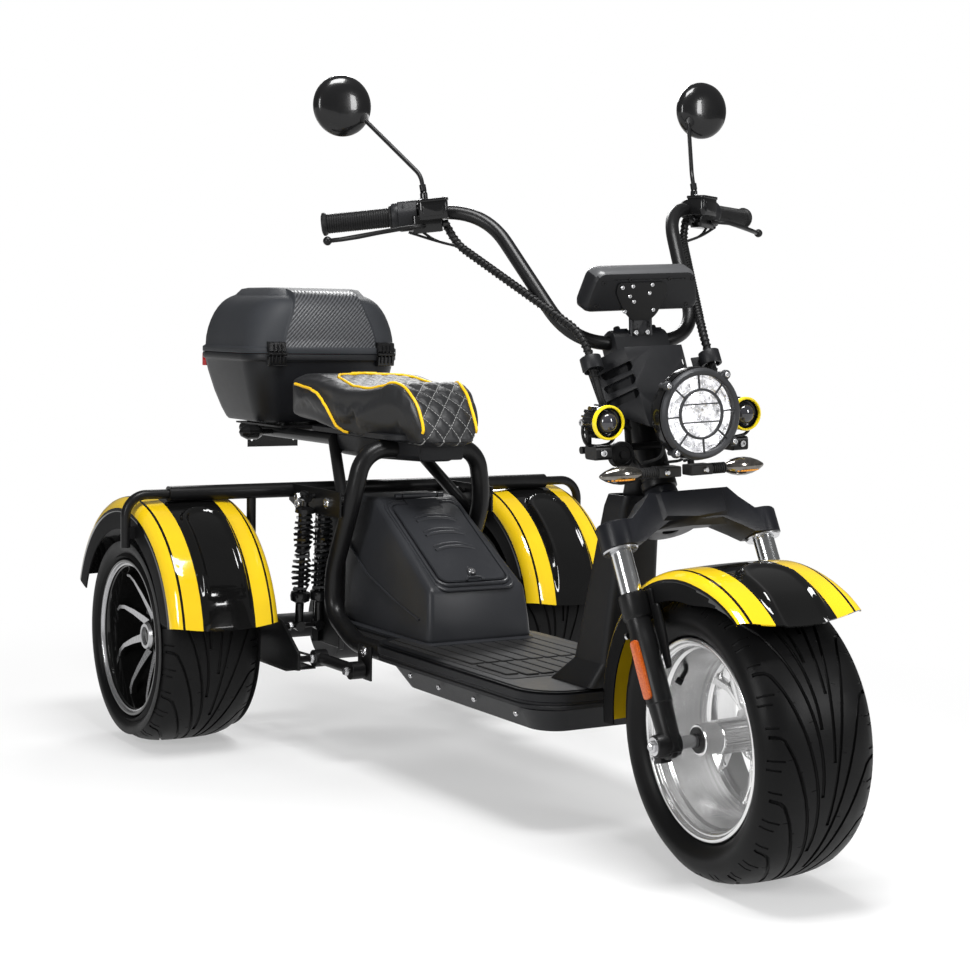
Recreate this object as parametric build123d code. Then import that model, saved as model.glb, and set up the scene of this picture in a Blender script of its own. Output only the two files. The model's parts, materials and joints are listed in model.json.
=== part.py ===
from build123d import *
import os
from math import cos, hypot, radians, sin, tan

# An electric tricycle with one steered wheel in front and two driven wheels behind.
# Millimetres. +X is forward, +Y is the rider's left, +Z is up, and the floor is Z = 0.
# Everything is drawn from the middle of the rear axle line. On export it is moved so
# that the origin lies on the floor, under the middle of the whole vehicle.

# ---- overall sizes -------------------------------------------------------------
WHEELBASE = 1420.0
REAR_TRACK = 840.0
ORIGIN_AHEAD_OF_REAR_AXLE = 610.0

# ---- steering ------------------------------------------------------------------
RAKE = 27.0                 # lean of the steering axis, degrees from upright
AXIS_BEHIND_AXLE = 60.0     # steering axis behind the front axle, at axle height
PARKED_STEER = -6.0         # the bars stand turned a little to the rider's right

# ---- wheels --------------------------------------------------------------------
FRONT_TYRE_R = 238.0
FRONT_TYRE_W = 210.0
REAR_TYRE_R = 223.0
REAR_TYRE_W = 222.0
RIM_SEAT_R = 152.0
RIM_LIP_R = 165.0
RIM_WALL = 6.0
FRONT_RIM_W = 176.0
REAR_RIM_W = 210.0
FRONT_AXLE_R = 8.0
FRONT_HUB_R = 26.0
FRONT_HUB_L = 176.0
REAR_STUB_R = 12.0
REAR_HUB_R = 38.0
SHAFT_GAP = 0.3             # running gap around a shaft or a pin
SEAT_GAP = 0.3              # gap between a piece and what it is seated on

# ---- fork ----------------------------------------------------------------------
FORK_SPACING = 280.0
FORK_AHEAD = 56.0           # fork tubes ahead of the steering axis
STANCHION_R = 18.0
SLIDER_R = 22.5
SLIDER_TOP = 222.0          # along the steering axis, from axle height
SLIDER_BOTTOM = -52.0
CROWN_BOTTOM = 306.0
CROWN_TOP = 417.0
CROWN_HALF_W = 178.0
STEERER_R = 15.0
HEAD_TUBE_R = 27.0
HEAD_TUBE_BOTTOM = 424.0
HEAD_TUBE_TOP = 622.0
YOKE_BOTTOM = 630.0
YOKE_T = 18.0

# ---- handlebar -----------------------------------------------------------------
BAR_R = 12.5
GRIP_R = 16.5
GRIP_L = 118.0
BAR_LOW = (-267.0, 630.0)   # X and Z of its lowest run, from the steering foot
BAR_TOP = (-475.0, 892.0)   # corner at the top of each riser
BAR_END = (-603.0, 851.0)
BAR_LOW_HALF_W = 124.0
BAR_TOP_HALF_W = 192.0
BAR_HALF_W = 445.0

# ---- head pieces, X and Z from the steering foot --------------------------------
MIRROR_PLACE = (-648.0, 382.0, 1066.0)
MIRROR_R = 55.0
DASH_LOW = (-245.0, 690.0)  # lower edge of the back of the instrument
DASH_HALF_W = 106.0
HEADLIGHT_PLACE = (-64.0, 516.0)
FAIRING_U = 97.0            # nose shield ahead of the steering axis
FAIRING_T = 4.0
LOOM_R = 7.0
RING_Y = 118.0

# ---- fenders -------------------------------------------------------------------
FENDER_T = 3.0
FENDER_SHOULDER = 32.0      # width of the curved shoulder at each edge
FRONT_FENDER_HALF_W = 116.0
FRONT_FENDER_R = 279.0      # radius of its outside along the middle
FRONT_FENDER_DROP = 21.0    # how much lower its edges are
FRONT_FENDER_WALL = 30.0    # depth of the side walls below the edges
FRONT_FENDER_START = 51.0   # degrees above the ground ahead of the axle
FRONT_FENDER_STOP = 184.0
REAR_FENDER_HALF_W = 119.0
REAR_FENDER_DROP = 36.0
REAR_FENDER_WALL = 36.0
REAR_FENDER_START = 12.0
REAR_FENDER_STOP = 160.0

# ---- frame ---------------------------------------------------------------------
HOOP_R = 19.0
HOOP_HALF_W = 160.0         # half spacing of the hoops beside the pedestal
HOOP_TOP_Z = 634.0
RAIL_Z = 236.0
RAIL_FRONT_X = WHEELBASE - 400.0
CROSS_TUBE_R = 16.0
CROSS_TUBE_X = 77.0
CROSS_TUBE_Z = 532.0
CROSS_TUBE_HALF_L = REAR_TRACK / 2 + 45.0
RAIL_TUBE_R = 10.0
RAIL_HALF_W = REAR_TRACK / 2 + 138.0
STRUT_R = 12.5

# ---- floor ---------------------------------------------------------------------
FLOOR_CORNER = 80.0
FLOOR_TONGUE_HALF_W = 132.0
FLOOR_HALF_W = 188.0
FLOOR_REAR_X = 430.0
FLOOR_FRONT_X = WHEELBASE - 335.0
FLOOR_T = 4.0
FLOOR_RIM_H = 34.0
MAT_T = 4.0
MAT_REAR_X = 470.0
MAT_FRONT_X = WHEELBASE - 480.0
MAT_HALF_W = 160.0
TRAY_BOTTOM_Z = 184.0
TRAY_BOTTOM_HALF_W = 158.0
TRAY_REAR_X = 510.0
TRAY_T = 3.0

# ---- battery pedestal ----------------------------------------------------------
PEDESTAL_WALL = 3.0
PEDESTAL_BOTTOM_HALF_W = 122.0
PEDESTAL_TOP_HALF_W = 97.0
PEDESTAL_REAR_X = 262.0
PEDESTAL_FRONT_X = 578.0
PEDESTAL_EDGE_X = 562.0
PEDESTAL_EDGE_Z = 370.0
PEDESTAL_BACK_X = 304.0
PEDESTAL_TOP_Z = 531.0
PEDESTAL_LID_T = 4.0
PEDESTAL_LID_HALF_W = 76.0
LID_START = 16.0            # lower edge of the lid, measured up the slope
LID_STOP = 296.0            # its hinge line
LID_GAP = 1.0
LID_HINGE_UP = 8.0
LID_HINGE_R = 5.0
LID_PIN_R = 2.0

# ---- rack ----------------------------------------------------------------------
RACK_TUBE_R = 12.5
RACK_TUBE_Y = 90.0
RACK_FRONT_X = 100.0
RACK_REAR_X = -380.0
RACK_PLATE_T = 4.0
PLATE_HOLE_SPACING = 110.0
PLATE_HOLE_R = 3.3
PLATE_HOLE_DROP = 45.0

# ---- top box -------------------------------------------------------------------
BOX_WALL = 3.0
BOX_FRONT_X = -100.0
BOX_L = 340.0
BOX_W = 390.0
BOX_CORNER = 70.0
BOX_BOTTOM_Z = 664.0
BOX_SPLIT_Z = 820.0
BOX_TOP_Z = 974.0
BOX_SPLIT_GAP = 1.0
HINGE_HALF_SPACING = 137.0
HINGE_R = 6.0
HINGE_PIN_R = 2.5

# ---- seat ----------------------------------------------------------------------
SEAT_REAR_X = -45.0
SEAT_FRONT_X = 462.0
SEAT_PAN_T = 6.0
SEAT_TOP_Z = 775.0

# ---- rear suspension -----------------------------------------------------------
AXLE_HALF_L = REAR_TRACK / 2 - 124.0
CARRIER_Y = REAR_TRACK / 2 - 158.0
SHOCK_Y = (CARRIER_Y - 57.0, CARRIER_Y - 102.0)
SHOCK_TOP_X = 195.0
SHOCK_TOP_Z = 528.0
SHOCK_LOW_X = 165.0
SHOCK_LOW_Z = 250.0
ARM_REAR_X = 260.0
ARM_REAR_Z = 195.0
ARM_FRONT_X = 425.0
ARM_FRONT_Z = 196.0
ARM_Y = CARRIER_Y - 60.0
ARM_PIN_R = 6.0
SHOCK_PIN_R = 5.0
BEAM_R = 27.0
CARRIER_T = 6.0
GUSSET_Y = CARRIER_Y - 81.5
GUSSET_T = 4.0
RAIL_LEG_Z = 424.0
RAIL_INNER_Y = REAR_TRACK / 2 - 144.0

# ---- neck ----------------------------------------------------------------------
NECK_FOOT_X = WHEELBASE - 416.0
NECK_TUBE_R = 22.0
NECK_COVER_T = 3.0

# ---- worked out from the above -------------------------------------------------
FLOOR_UNDER_Z = RAIL_Z + HOOP_R + SEAT_GAP
STEER_FOOT = Vector(WHEELBASE - AXIS_BEHIND_AXLE, 0, FRONT_TYRE_R)
AXLE_U = AXIS_BEHIND_AXLE * cos(radians(RAKE))
AXLE_W = -AXIS_BEHIND_AXLE * sin(radians(RAKE))
REAR_FENDER_R = (
    hypot(CROSS_TUBE_X, CROSS_TUBE_Z - REAR_TYRE_R) - CROSS_TUBE_R - SEAT_GAP
)
SEAT_PAN_Z = HOOP_TOP_Z + HOOP_R + SEAT_GAP
RACK_TUBE_Z = HOOP_TOP_Z + HOOP_R - RACK_TUBE_R
FORK_PLANE = Plane(
    origin=STEER_FOOT,
    x_dir=(cos(radians(RAKE)), 0, sin(radians(RAKE))),
    z_dir=(-sin(radians(RAKE)), 0, cos(radians(RAKE))),
)
STEER_AXIS = Axis(STEER_FOOT, FORK_PLANE.z_dir)
FORK_HALF = FORK_SPACING / 2
WHEEL_HALF = REAR_TRACK / 2


# ---- helpers -------------------------------------------------------------------
def block(x0, x1, y0, y1, z0, z1):
    """A box between two corners."""
    size = (x1 - x0, y1 - y0, z1 - z0)
    return Pos((x0 + x1) / 2, (y0 + y1) / 2, (z0 + z1) / 2) * Box(*size)


def rod(start, end, radius, bore=0.0):
    """A round bar or tube from one point to another."""
    start, end = Vector(*start), Vector(*end)
    along = end - start
    plane = Plane(origin=start, z_dir=along)
    bar = extrude(plane * Circle(radius), along.length)
    if bore:
        bar -= extrude(plane * Circle(bore), along.length)
    return bar


def bent_tube(points, radius, bends):
    """A round bar along straight runs that are joined by arcs."""
    path = FilletPolyline(*[Vector(*p) for p in points], radius=bends)
    start = Plane(origin=path @ 0, z_dir=path % 0)
    return sweep(start * Circle(radius), path=path)


def side_plate(points, y0, y1):
    """A plate whose outline is given as X and Z, from y0 to y1."""
    face = make_face(Polyline(*[(x, y0, z) for x, z in points], close=True))
    return extrude(face, y1 - y0, dir=(0, 1, 0))


def front_plate(points, x0, x1):
    """A plate whose outline is given as Y and Z, from x0 to x1."""
    face = make_face(Polyline(*[(x0, y, z) for y, z in points], close=True))
    return extrude(face, x1 - x0, dir=(1, 0, 0))


def ring_y(points):
    """A solid turned about the Y axis, from an outline of radius and Y."""
    face = make_face(Polyline(*[(r, y, 0) for r, y in points], close=True))
    return revolve(face, Axis.Y)


def ring_x(points):
    """A solid turned about the X axis, from an outline of X and radius."""
    face = make_face(Polyline(*[(x, r, 0) for x, r in points], close=True))
    return revolve(face, Axis.X)


def rounded_slab(x0, x1, half_w, z, corner):
    """A flat outline with rounded corners at height z."""
    centre = Pos((x0 + x1) / 2, 0, z)
    return centre * RectangleRounded(x1 - x0, 2 * half_w, corner)


def loft_between(sections):
    """A straight-sided loft through flat outlines, from the lowest to the highest."""
    return loft([s.face() for s in sections], ruled=True)


def both_sides(shape):
    """A shape and its mirror image on the other side."""
    return [shape, mirror(shape, Plane.XZ)]


def in_fork(shape):
    """Moves a shape drawn about the steering axis to its place on the vehicle."""
    return FORK_PLANE.location * shape


def from_foot(shape):
    """Moves a shape drawn level from the foot of the steering axis to its place."""
    return Pos(*STEER_FOOT) * shape


def save(name, shapes, steered=False):
    """Writes one sub-part as parts/NAME.step."""
    solids = []
    for shape in shapes if isinstance(shapes, list) else [shapes]:
        solids += shape.solids()
    whole = Compound(children=solids)
    if steered:
        whole = whole.rotate(STEER_AXIS, PARKED_STEER)
    whole = whole.moved(Location((-ORIGIN_AHEAD_OF_REAR_AXLE, 0, 0)))
    export_step(whole, f"parts/{name}.step")


# ---- wheels --------------------------------------------------------------------
def tyre(radius, width, rim_width):
    """A solid ring from the bead seat to the tread, with a rounded shoulder."""
    half, bead = width / 2, rim_width / 2 - RIM_WALL - SEAT_GAP
    seat = RIM_SEAT_R + SEAT_GAP
    shoulder = radius - 14
    right = [
        (seat, bead),
        (RIM_LIP_R + 1, bead),
        (RIM_LIP_R + 8, half - 8),
        (radius - 42, half),
        (radius - 26, half - 1),
        (shoulder, half - 9),
        (radius - 4, half - 32),
        (radius - 1, half - 62),
        (radius, 12),
    ]
    return ring_y(right + [(r, -y) for r, y in reversed(right)])


def rim_barrel(rim_width):
    """The barrel that carries the tyre, with a lip at each edge."""
    half = rim_width / 2
    inner = RIM_SEAT_R - RIM_WALL
    outline = [
        (inner, -half), (RIM_LIP_R, -half), (RIM_LIP_R, RIM_WALL - half),
        (RIM_SEAT_R, RIM_WALL - half), (RIM_SEAT_R, half - RIM_WALL),
        (RIM_LIP_R, half - RIM_WALL), (RIM_LIP_R, half), (inner, half),
    ]
    return ring_y(outline)


def spoke(inner_angle, outer_angle, inner_r, width_in, width_out, y0, y1):
    """One flat spoke, from the hub to the barrel, as a plate normal to the axle."""
    a, b = radians(inner_angle), radians(outer_angle)
    reach = RIM_SEAT_R - RIM_WALL / 2
    start = Vector(inner_r * cos(a), 0, inner_r * sin(a))
    end = Vector(reach * cos(b), 0, reach * sin(b))
    along = (end - start).normalized()
    across = Vector(-along.Z, 0, along.X)
    corners = [
        start - across * width_in, end - across * width_out,
        end + across * width_out, start + across * width_in,
    ]
    return side_plate([(c.X, c.Z) for c in corners], y0, y1)


def front_wheel():
    """Polished wheel: a deep barrel, a long hub and five forked spokes."""
    hub_half = FRONT_HUB_L / 2
    hub = ring_y([
        (FRONT_AXLE_R + SHAFT_GAP, -hub_half), (FRONT_HUB_R, -hub_half),
        (FRONT_HUB_R, hub_half), (FRONT_AXLE_R + SHAFT_GAP, hub_half),
    ])
    disc_y = 22.0
    rim = rim_barrel(FRONT_RIM_W) + hub
    for k in range(5):
        middle = 90 + 72 * k
        for side in (-1, 1):
            rim += spoke(middle + 4 * side, middle + 17 * side, FRONT_HUB_R - 4, 9, 7,
                         disc_y - 8, disc_y + 8)
    collar = ring_y([
        (FRONT_HUB_R - 2, disc_y - 10), (FRONT_HUB_R + 22, disc_y - 10),
        (FRONT_HUB_R + 22, disc_y + 10), (FRONT_HUB_R - 2, disc_y + 10),
    ])
    rotor = ring_y([
        (FRONT_HUB_R + SEAT_GAP, 64), (85, 64), (85, 68), (FRONT_HUB_R + SEAT_GAP, 68),
    ])
    place = Pos(WHEELBASE, 0, FRONT_TYRE_R)
    return place * (rim + collar), place * rotor


def rear_wheel(side):
    """Blade-spoked wheel on a driven stub, seen from its outer side."""
    outer = REAR_RIM_W / 2
    face_y = outer - 62
    hub = ring_y([
        (REAR_STUB_R + SHAFT_GAP, -20), (REAR_HUB_R + 14, -20), (REAR_HUB_R + 14, face_y - 10),
        (REAR_HUB_R, face_y + 8), (REAR_HUB_R - 8, face_y + 20),
        (REAR_STUB_R + SHAFT_GAP, face_y + 20),
    ])
    rim = rim_barrel(REAR_RIM_W) + hub
    for k in range(9):
        rim += spoke(90 + 40 * k, 96 + 40 * k, REAR_HUB_R - 6, 13, 9, face_y - 14, face_y)
    rotor = ring_y([
        (REAR_STUB_R + SHAFT_GAP, -82), (95, -82), (95, -77), (40, -77),
        (40, -20 - SEAT_GAP), (REAR_STUB_R + SHAFT_GAP, -20 - SEAT_GAP),
    ])
    wheel = [rim, rotor]
    if side < 0:
        wheel = [mirror(w, Plane.XZ) for w in wheel]
    place = Pos(0, side * WHEEL_HALF, REAR_TYRE_R)
    return [place * w for w in wheel]


def fender(radius, drop, wall, half_w, start, stop):
    """A mudguard: a crowned strip with side walls, turned about the axle."""
    edge = radius - drop
    crown = [
        (edge, 1.0), (edge + 0.62 * drop, 1.0 - 0.35 * FENDER_SHOULDER / half_w),
        (edge + 0.90 * drop, 1.0 - FENDER_SHOULDER / half_w), (radius, 0.0),
    ]
    half = [(edge - wall, half_w)] + [(r, share * half_w) for r, share in crown]
    outer = half + [(r, -y) for r, y in reversed(half[:-1])]
    thin = half_w - FENDER_T
    half_in = [(edge - wall, thin)] + [(r - FENDER_T, share * thin) for r, share in crown]
    inner = half_in + [(r, -y) for r, y in reversed(half_in[:-1])]
    outline = outer + list(reversed(inner))
    face = make_face(Polyline(*[(r, y, 0) for r, y in outline], close=True))
    return revolve(face, -Axis.Y, stop - start).rotate(Axis.Y, -start)


def front_fender():
    shape = fender(FRONT_FENDER_R, FRONT_FENDER_DROP, FRONT_FENDER_WALL,
                   FRONT_FENDER_HALF_W, FRONT_FENDER_START, FRONT_FENDER_STOP)
    return Pos(WHEELBASE, 0, FRONT_TYRE_R) * shape


def rear_fender(side):
    shape = fender(REAR_FENDER_R, REAR_FENDER_DROP, REAR_FENDER_WALL,
                   REAR_FENDER_HALF_W, REAR_FENDER_START, REAR_FENDER_STOP)
    return Pos(0, side * WHEEL_HALF, REAR_TYRE_R) * shape


# ---- frame ---------------------------------------------------------------------
def side_hoop(radius=HOOP_R):
    """One side of the frame: out and down from under the seat, then forward."""
    wide = HOOP_HALF_W
    points = [
        (322, SEAT_GAP / 2, HOOP_TOP_Z), (322, wide - 26, HOOP_TOP_Z), (312, wide - 3, 520),
        (238, wide, 370), (238, wide, 285), (345, wide, RAIL_Z), (RAIL_FRONT_X, wide, RAIL_Z),
    ]
    return bent_tube(points, radius, [60, 200, 150, 60, 150])


def cope_to_hoops(shape):
    """Cuts away whatever would run into the two side hoops."""
    for hoop in both_sides(side_hoop(HOOP_R + SEAT_GAP)):
        shape -= hoop
    return shape


def floor_frame():
    """Cross members between the rails."""
    half = HOOP_HALF_W
    return [
        cope_to_hoops(rod((x, -half, RAIL_Z), (x, half, RAIL_Z), 14))
        for x in (470, 740, NECK_FOOT_X)
    ]


def neck_frame():
    """The neck tube and the head tube, which meet above the fork crown."""
    middle = (HEAD_TUBE_BOTTOM + HEAD_TUBE_TOP) / 2
    meet = FORK_PLANE.origin + FORK_PLANE.z_dir * middle
    neck = bent_tube(
        [(NECK_FOOT_X, 0, RAIL_Z), (NECK_FOOT_X + 74, 0, 540), (meet.X, 0, meet.Z)],
        NECK_TUBE_R, [300],
    )
    neck -= rod((NECK_FOOT_X, -30, RAIL_Z), (NECK_FOOT_X, 30, RAIL_Z), 14 + SEAT_GAP)
    neck -= block(NECK_FOOT_X - 40, NECK_FOOT_X + 40, -40, 40, RAIL_Z - 40, RAIL_Z)
    height = HEAD_TUBE_TOP - HEAD_TUBE_BOTTOM
    head = Pos(0, 0, HEAD_TUBE_BOTTOM) * extrude(Circle(HEAD_TUBE_R), height)
    bore = Pos(0, 0, HEAD_TUBE_BOTTOM) * extrude(Circle(STEERER_R + SHAFT_GAP), height)
    return neck + in_fork(head) - in_fork(bore)


def rear_rail():
    """The cross tube over the rear axle, with the hoops that hold the fenders."""
    rail = rod((CROSS_TUBE_X, -CROSS_TUBE_HALF_L, CROSS_TUBE_Z),
               (CROSS_TUBE_X, CROSS_TUBE_HALF_L, CROSS_TUBE_Z), CROSS_TUBE_R)
    half = bent_tube(
        [(CROSS_TUBE_X, CROSS_TUBE_HALF_L - 20, CROSS_TUBE_Z),
         (CROSS_TUBE_X, RAIL_HALF_W, CROSS_TUBE_Z), (CROSS_TUBE_X, RAIL_HALF_W, RAIL_LEG_Z)],
        RAIL_TUBE_R, [45],
    )
    half += rod((CROSS_TUBE_X, RAIL_INNER_Y, CROSS_TUBE_Z),
                (CROSS_TUBE_X, RAIL_INNER_Y, RAIL_LEG_Z), RAIL_TUBE_R)
    for leg_y, way in ((RAIL_HALF_W, 1), (RAIL_INNER_Y, -1)):
        wall = WHEEL_HALF + way * (REAR_FENDER_HALF_W + SEAT_GAP)
        low, high = sorted((wall, leg_y))
        half += block(CROSS_TUBE_X - 8, CROSS_TUBE_X + 8, low, high, 442, 466)
    half += side_plate(
        [(CROSS_TUBE_X - 6, 546), (CROSS_TUBE_X - 6, 510), (120, 492), (312, 492), (312, 546)],
        GUSSET_Y, GUSSET_Y + GUSSET_T,
    )
    half += rod((300, HOOP_HALF_W - 3, 528), (300, GUSSET_Y + 1, 528), 11)
    half += rod((SHOCK_TOP_X, SHOCK_Y[1] - 16, SHOCK_TOP_Z),
                (SHOCK_TOP_X, SHOCK_Y[0] + 16, SHOCK_TOP_Z), SHOCK_PIN_R)
    for one in both_sides(half):
        rail += one
    return cope_to_hoops(rail)


def rear_shock(y):
    """One coil-over: two eyes, the rod, two spring seats and the ribbed spring."""
    top, low = Vector(SHOCK_TOP_X, y, SHOCK_TOP_Z), Vector(SHOCK_LOW_X, y, SHOCK_LOW_Z)
    along = (low - top).normalized()
    length = (low - top).length
    start, stop, turns = length * 0.14, length * 0.80, 8
    pitch = (stop - start) / turns
    outline = [(7, 10), (7, start - 6), (20, start - 6), (20, start)]
    for k in range(turns):
        z = start + pitch * k
        outline += [(14, z + 1), (19, z + pitch * 0.35), (19, z + pitch * 0.65),
                    (14, z + pitch - 1)]
    outline += [(20, stop), (20, stop + 6), (7, stop + 6), (7, length - 8), (0, length - 8),
                (0, 10)]
    face = make_face(Polyline(*[(r, 0, z) for r, z in outline], close=True))
    shock = Plane(origin=top, z_dir=along).location * revolve(face, Axis.Z)
    for end in (top, low):
        shock += rod(end - Vector(0, 12, 0), end + Vector(0, 12, 0), 11)
        shock -= rod(end - Vector(0, 13, 0), end + Vector(0, 13, 0), SHOCK_PIN_R + SEAT_GAP)
    return shock


def rear_axle():
    """The axle beam with its motor and final-drive casing, and the two stubs."""
    beam = rod((0, -AXLE_HALF_L, REAR_TYRE_R), (0, AXLE_HALF_L, REAR_TYRE_R), BEAM_R)
    casing = rod((0, -62, REAR_TYRE_R), (0, 62, REAR_TYRE_R), 82)
    motor = rod((0, 62, REAR_TYRE_R), (0, 150, REAR_TYRE_R), 62)
    axle = beam + casing + motor
    for side in (-1, 1):
        reach = side * (WHEEL_HALF + REAR_RIM_W / 2 - 62 + 12)
        axle += rod((0, side * AXLE_HALF_L, REAR_TYRE_R), (0, reach, REAR_TYRE_R), REAR_STUB_R)
    return axle


def axle_carrier(side):
    """The bracket at one end of the beam: a cheek, a slotted shelf and two pins."""
    inner, outer = CARRIER_Y - CARRIER_T, CARRIER_Y
    cheek = side_plate(
        [(-48, 168), (200, 168), (282, 176), (282, 212), (200, 268), (60, 300), (-48, 300)],
        inner, outer)
    cheek -= rod((0, inner - 1, REAR_TYRE_R), (0, outer + 1, REAR_TYRE_R), BEAM_R + SEAT_GAP)
    shelf = block(20, 215, inner - 68, inner + 1, 164, 168)
    for x in (34, 102):
        shelf -= block(x, x + 56, inner - 48, inner - 26, 163, 169)
    carrier = cheek + shelf
    carrier += rod((SHOCK_LOW_X, SHOCK_Y[1] - 16, SHOCK_LOW_Z),
                   (SHOCK_LOW_X, inner + 1, SHOCK_LOW_Z), SHOCK_PIN_R)
    carrier += rod((ARM_REAR_X, ARM_Y - 20, ARM_REAR_Z), (ARM_REAR_X, inner + 1, ARM_REAR_Z),
                   ARM_PIN_R)
    return carrier if side > 0 else mirror(carrier, Plane.XZ)


def radius_arm(side):
    """The arm between the frame bracket and the carrier, with an eye at each end."""
    y = side * ARM_Y
    ends = [(ARM_REAR_X, ARM_REAR_Z), (ARM_FRONT_X, ARM_FRONT_Z)]
    arm = rod((ends[0][0], y, ends[0][1]), (ends[1][0], y, ends[1][1]), 12)
    for x, z in ends:
        arm += rod((x, y - 14, z), (x, y + 14, z), 18)
    for x, z in ends:
        arm -= rod((x, y - 15, z), (x, y + 15, z), ARM_PIN_R + SEAT_GAP)
    return arm


def arm_bracket():
    """The plate on the left rail that carries the front pin of a radius arm."""
    inner = HOOP_HALF_W + HOOP_R + SEAT_GAP
    plate = block(ARM_FRONT_X - 28, ARM_FRONT_X + 28, inner, inner + 4, 176, 246)
    pin = rod((ARM_FRONT_X, inner + 3, ARM_FRONT_Z), (ARM_FRONT_X, ARM_Y + 20, ARM_FRONT_Z),
              ARM_PIN_R)
    return plate + pin


# ---- floor ---------------------------------------------------------------------
def footboard():
    """The moulded tray on the rails, with a rolled rim and a bulged front."""
    top, under = FLOOR_UNDER_Z + FLOOR_T, FLOOR_UNDER_Z
    foot = top - FLOOR_RIM_H
    board = extrude(
        rounded_slab(FLOOR_REAR_X, FLOOR_FRONT_X, FLOOR_HALF_W, foot, FLOOR_CORNER),
        FLOOR_RIM_H)
    board -= extrude(
        rounded_slab(FLOOR_REAR_X + FLOOR_T, FLOOR_FRONT_X - FLOOR_T,
                     FLOOR_HALF_W - FLOOR_T, foot, FLOOR_CORNER - FLOOR_T),
        FLOOR_RIM_H - FLOOR_T)
    board -= block(FLOOR_REAR_X - 1, FLOOR_REAR_X + 70, -FLOOR_HALF_W, FLOOR_HALF_W,
                   foot - 1, under)
    board += block(PEDESTAL_REAR_X, FLOOR_REAR_X + 60, -FLOOR_TONGUE_HALF_W,
                   FLOOR_TONGUE_HALF_W, under, top)
    slot = NECK_TUBE_R + 6
    return board - block(NECK_FOOT_X - 30, NECK_FOOT_X + 44, -slot, slot, under - 1, top + 1)


def floor_mat():
    """The rubber mat between the pedestal and the neck cover, with its ribs."""
    z = FLOOR_UNDER_Z + FLOOR_T + SEAT_GAP
    mat = extrude(rounded_slab(MAT_REAR_X, MAT_FRONT_X, MAT_HALF_W, z, 16), MAT_T)
    keep_out = block(MAT_REAR_X - 1, PEDESTAL_FRONT_X + 6, -PEDESTAL_BOTTOM_HALF_W - 6,
                     PEDESTAL_BOTTOM_HALF_W + 6, z - 1, z + 9)
    return mat - keep_out


def belly_tray():
    """The pan that closes the floor from below, narrower at its foot."""
    top = FLOOR_UNDER_Z + FLOOR_T - FLOOR_RIM_H - SEAT_GAP
    t = TRAY_T
    low = (TRAY_REAR_X + 30, FLOOR_FRONT_X - 25, TRAY_BOTTOM_HALF_W)
    high = (TRAY_REAR_X, FLOOR_FRONT_X - 5, FLOOR_HALF_W - FLOOR_T)
    outer = loft_between([
        rounded_slab(*low, TRAY_BOTTOM_Z, 50), rounded_slab(*high, top, 60),
    ])
    inner = loft_between([
        rounded_slab(low[0] + t, low[1] - t, low[2] - t, TRAY_BOTTOM_Z + t, 47),
        rounded_slab(high[0] + t, high[1] - t, high[2] - t, top + 1, 57),
    ])
    return cope_to_hoops(outer - inner)


def neck_cover():
    """The plastic shroud round the neck tube, flared where it meets the floor."""
    foot = FLOOR_UNDER_Z + FLOOR_T + SEAT_GAP
    x = NECK_FOOT_X
    levels = [(foot, x - 54, x + 80, 82), (foot + 42, x - 16, x + 84, 56),
              (580, x + 46, x + 114, 42), (602, x + 56, x + 120, 40)]
    outer = loft_between([rounded_slab(x0, x1, w, z, 14) for z, x0, x1, w in levels])
    t = NECK_COVER_T
    levels[0] = (foot - 1, x - 54, x + 80, 82)
    levels[-1] = (603, x + 56, x + 120, 40)
    inner = loft_between(
        [rounded_slab(x0 + t, x1 - t, w - t, z, 12) for z, x0, x1, w in levels])
    return outer - inner


# ---- battery pedestal ----------------------------------------------------------
def pedestal_form(inset, foot):
    """The tapered block of the pedestal, drawn in by an inset on every side."""
    profile = [
        (PEDESTAL_REAR_X + inset, foot), (PEDESTAL_FRONT_X - inset, foot),
        (PEDESTAL_EDGE_X - inset, PEDESTAL_EDGE_Z - inset * 0.6),
        (PEDESTAL_BACK_X, PEDESTAL_TOP_Z - inset * 1.2),
        (PEDESTAL_REAR_X + inset, PEDESTAL_TOP_Z - inset * 1.2),
    ]
    wide = PEDESTAL_BOTTOM_HALF_W - inset
    slim = PEDESTAL_TOP_HALF_W - inset
    section = [(-wide, foot), (wide, foot), (slim, PEDESTAL_TOP_Z), (-slim, PEDESTAL_TOP_Z)]
    return side_plate(profile, -200, 200) & front_plate(section, 200, 700)


def slope_place(along, up):
    """A point on the sloping top: distance up the slope and height above it."""
    run = PEDESTAL_EDGE_X - PEDESTAL_BACK_X
    rise = PEDESTAL_TOP_Z - PEDESTAL_EDGE_Z
    length = hypot(run, rise)
    x = PEDESTAL_EDGE_X - run * along / length + rise * up / length
    z = PEDESTAL_EDGE_Z + rise * along / length + run * up / length
    return x, z


def slope_plate(start, stop, low, high, half_w):
    """A plate that lies on the sloping top, between two distances up the slope."""
    corners = [slope_place(start, low), slope_place(stop, low),
               slope_place(stop, high), slope_place(start, high)]
    return side_plate(corners, -half_w, half_w)


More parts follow.
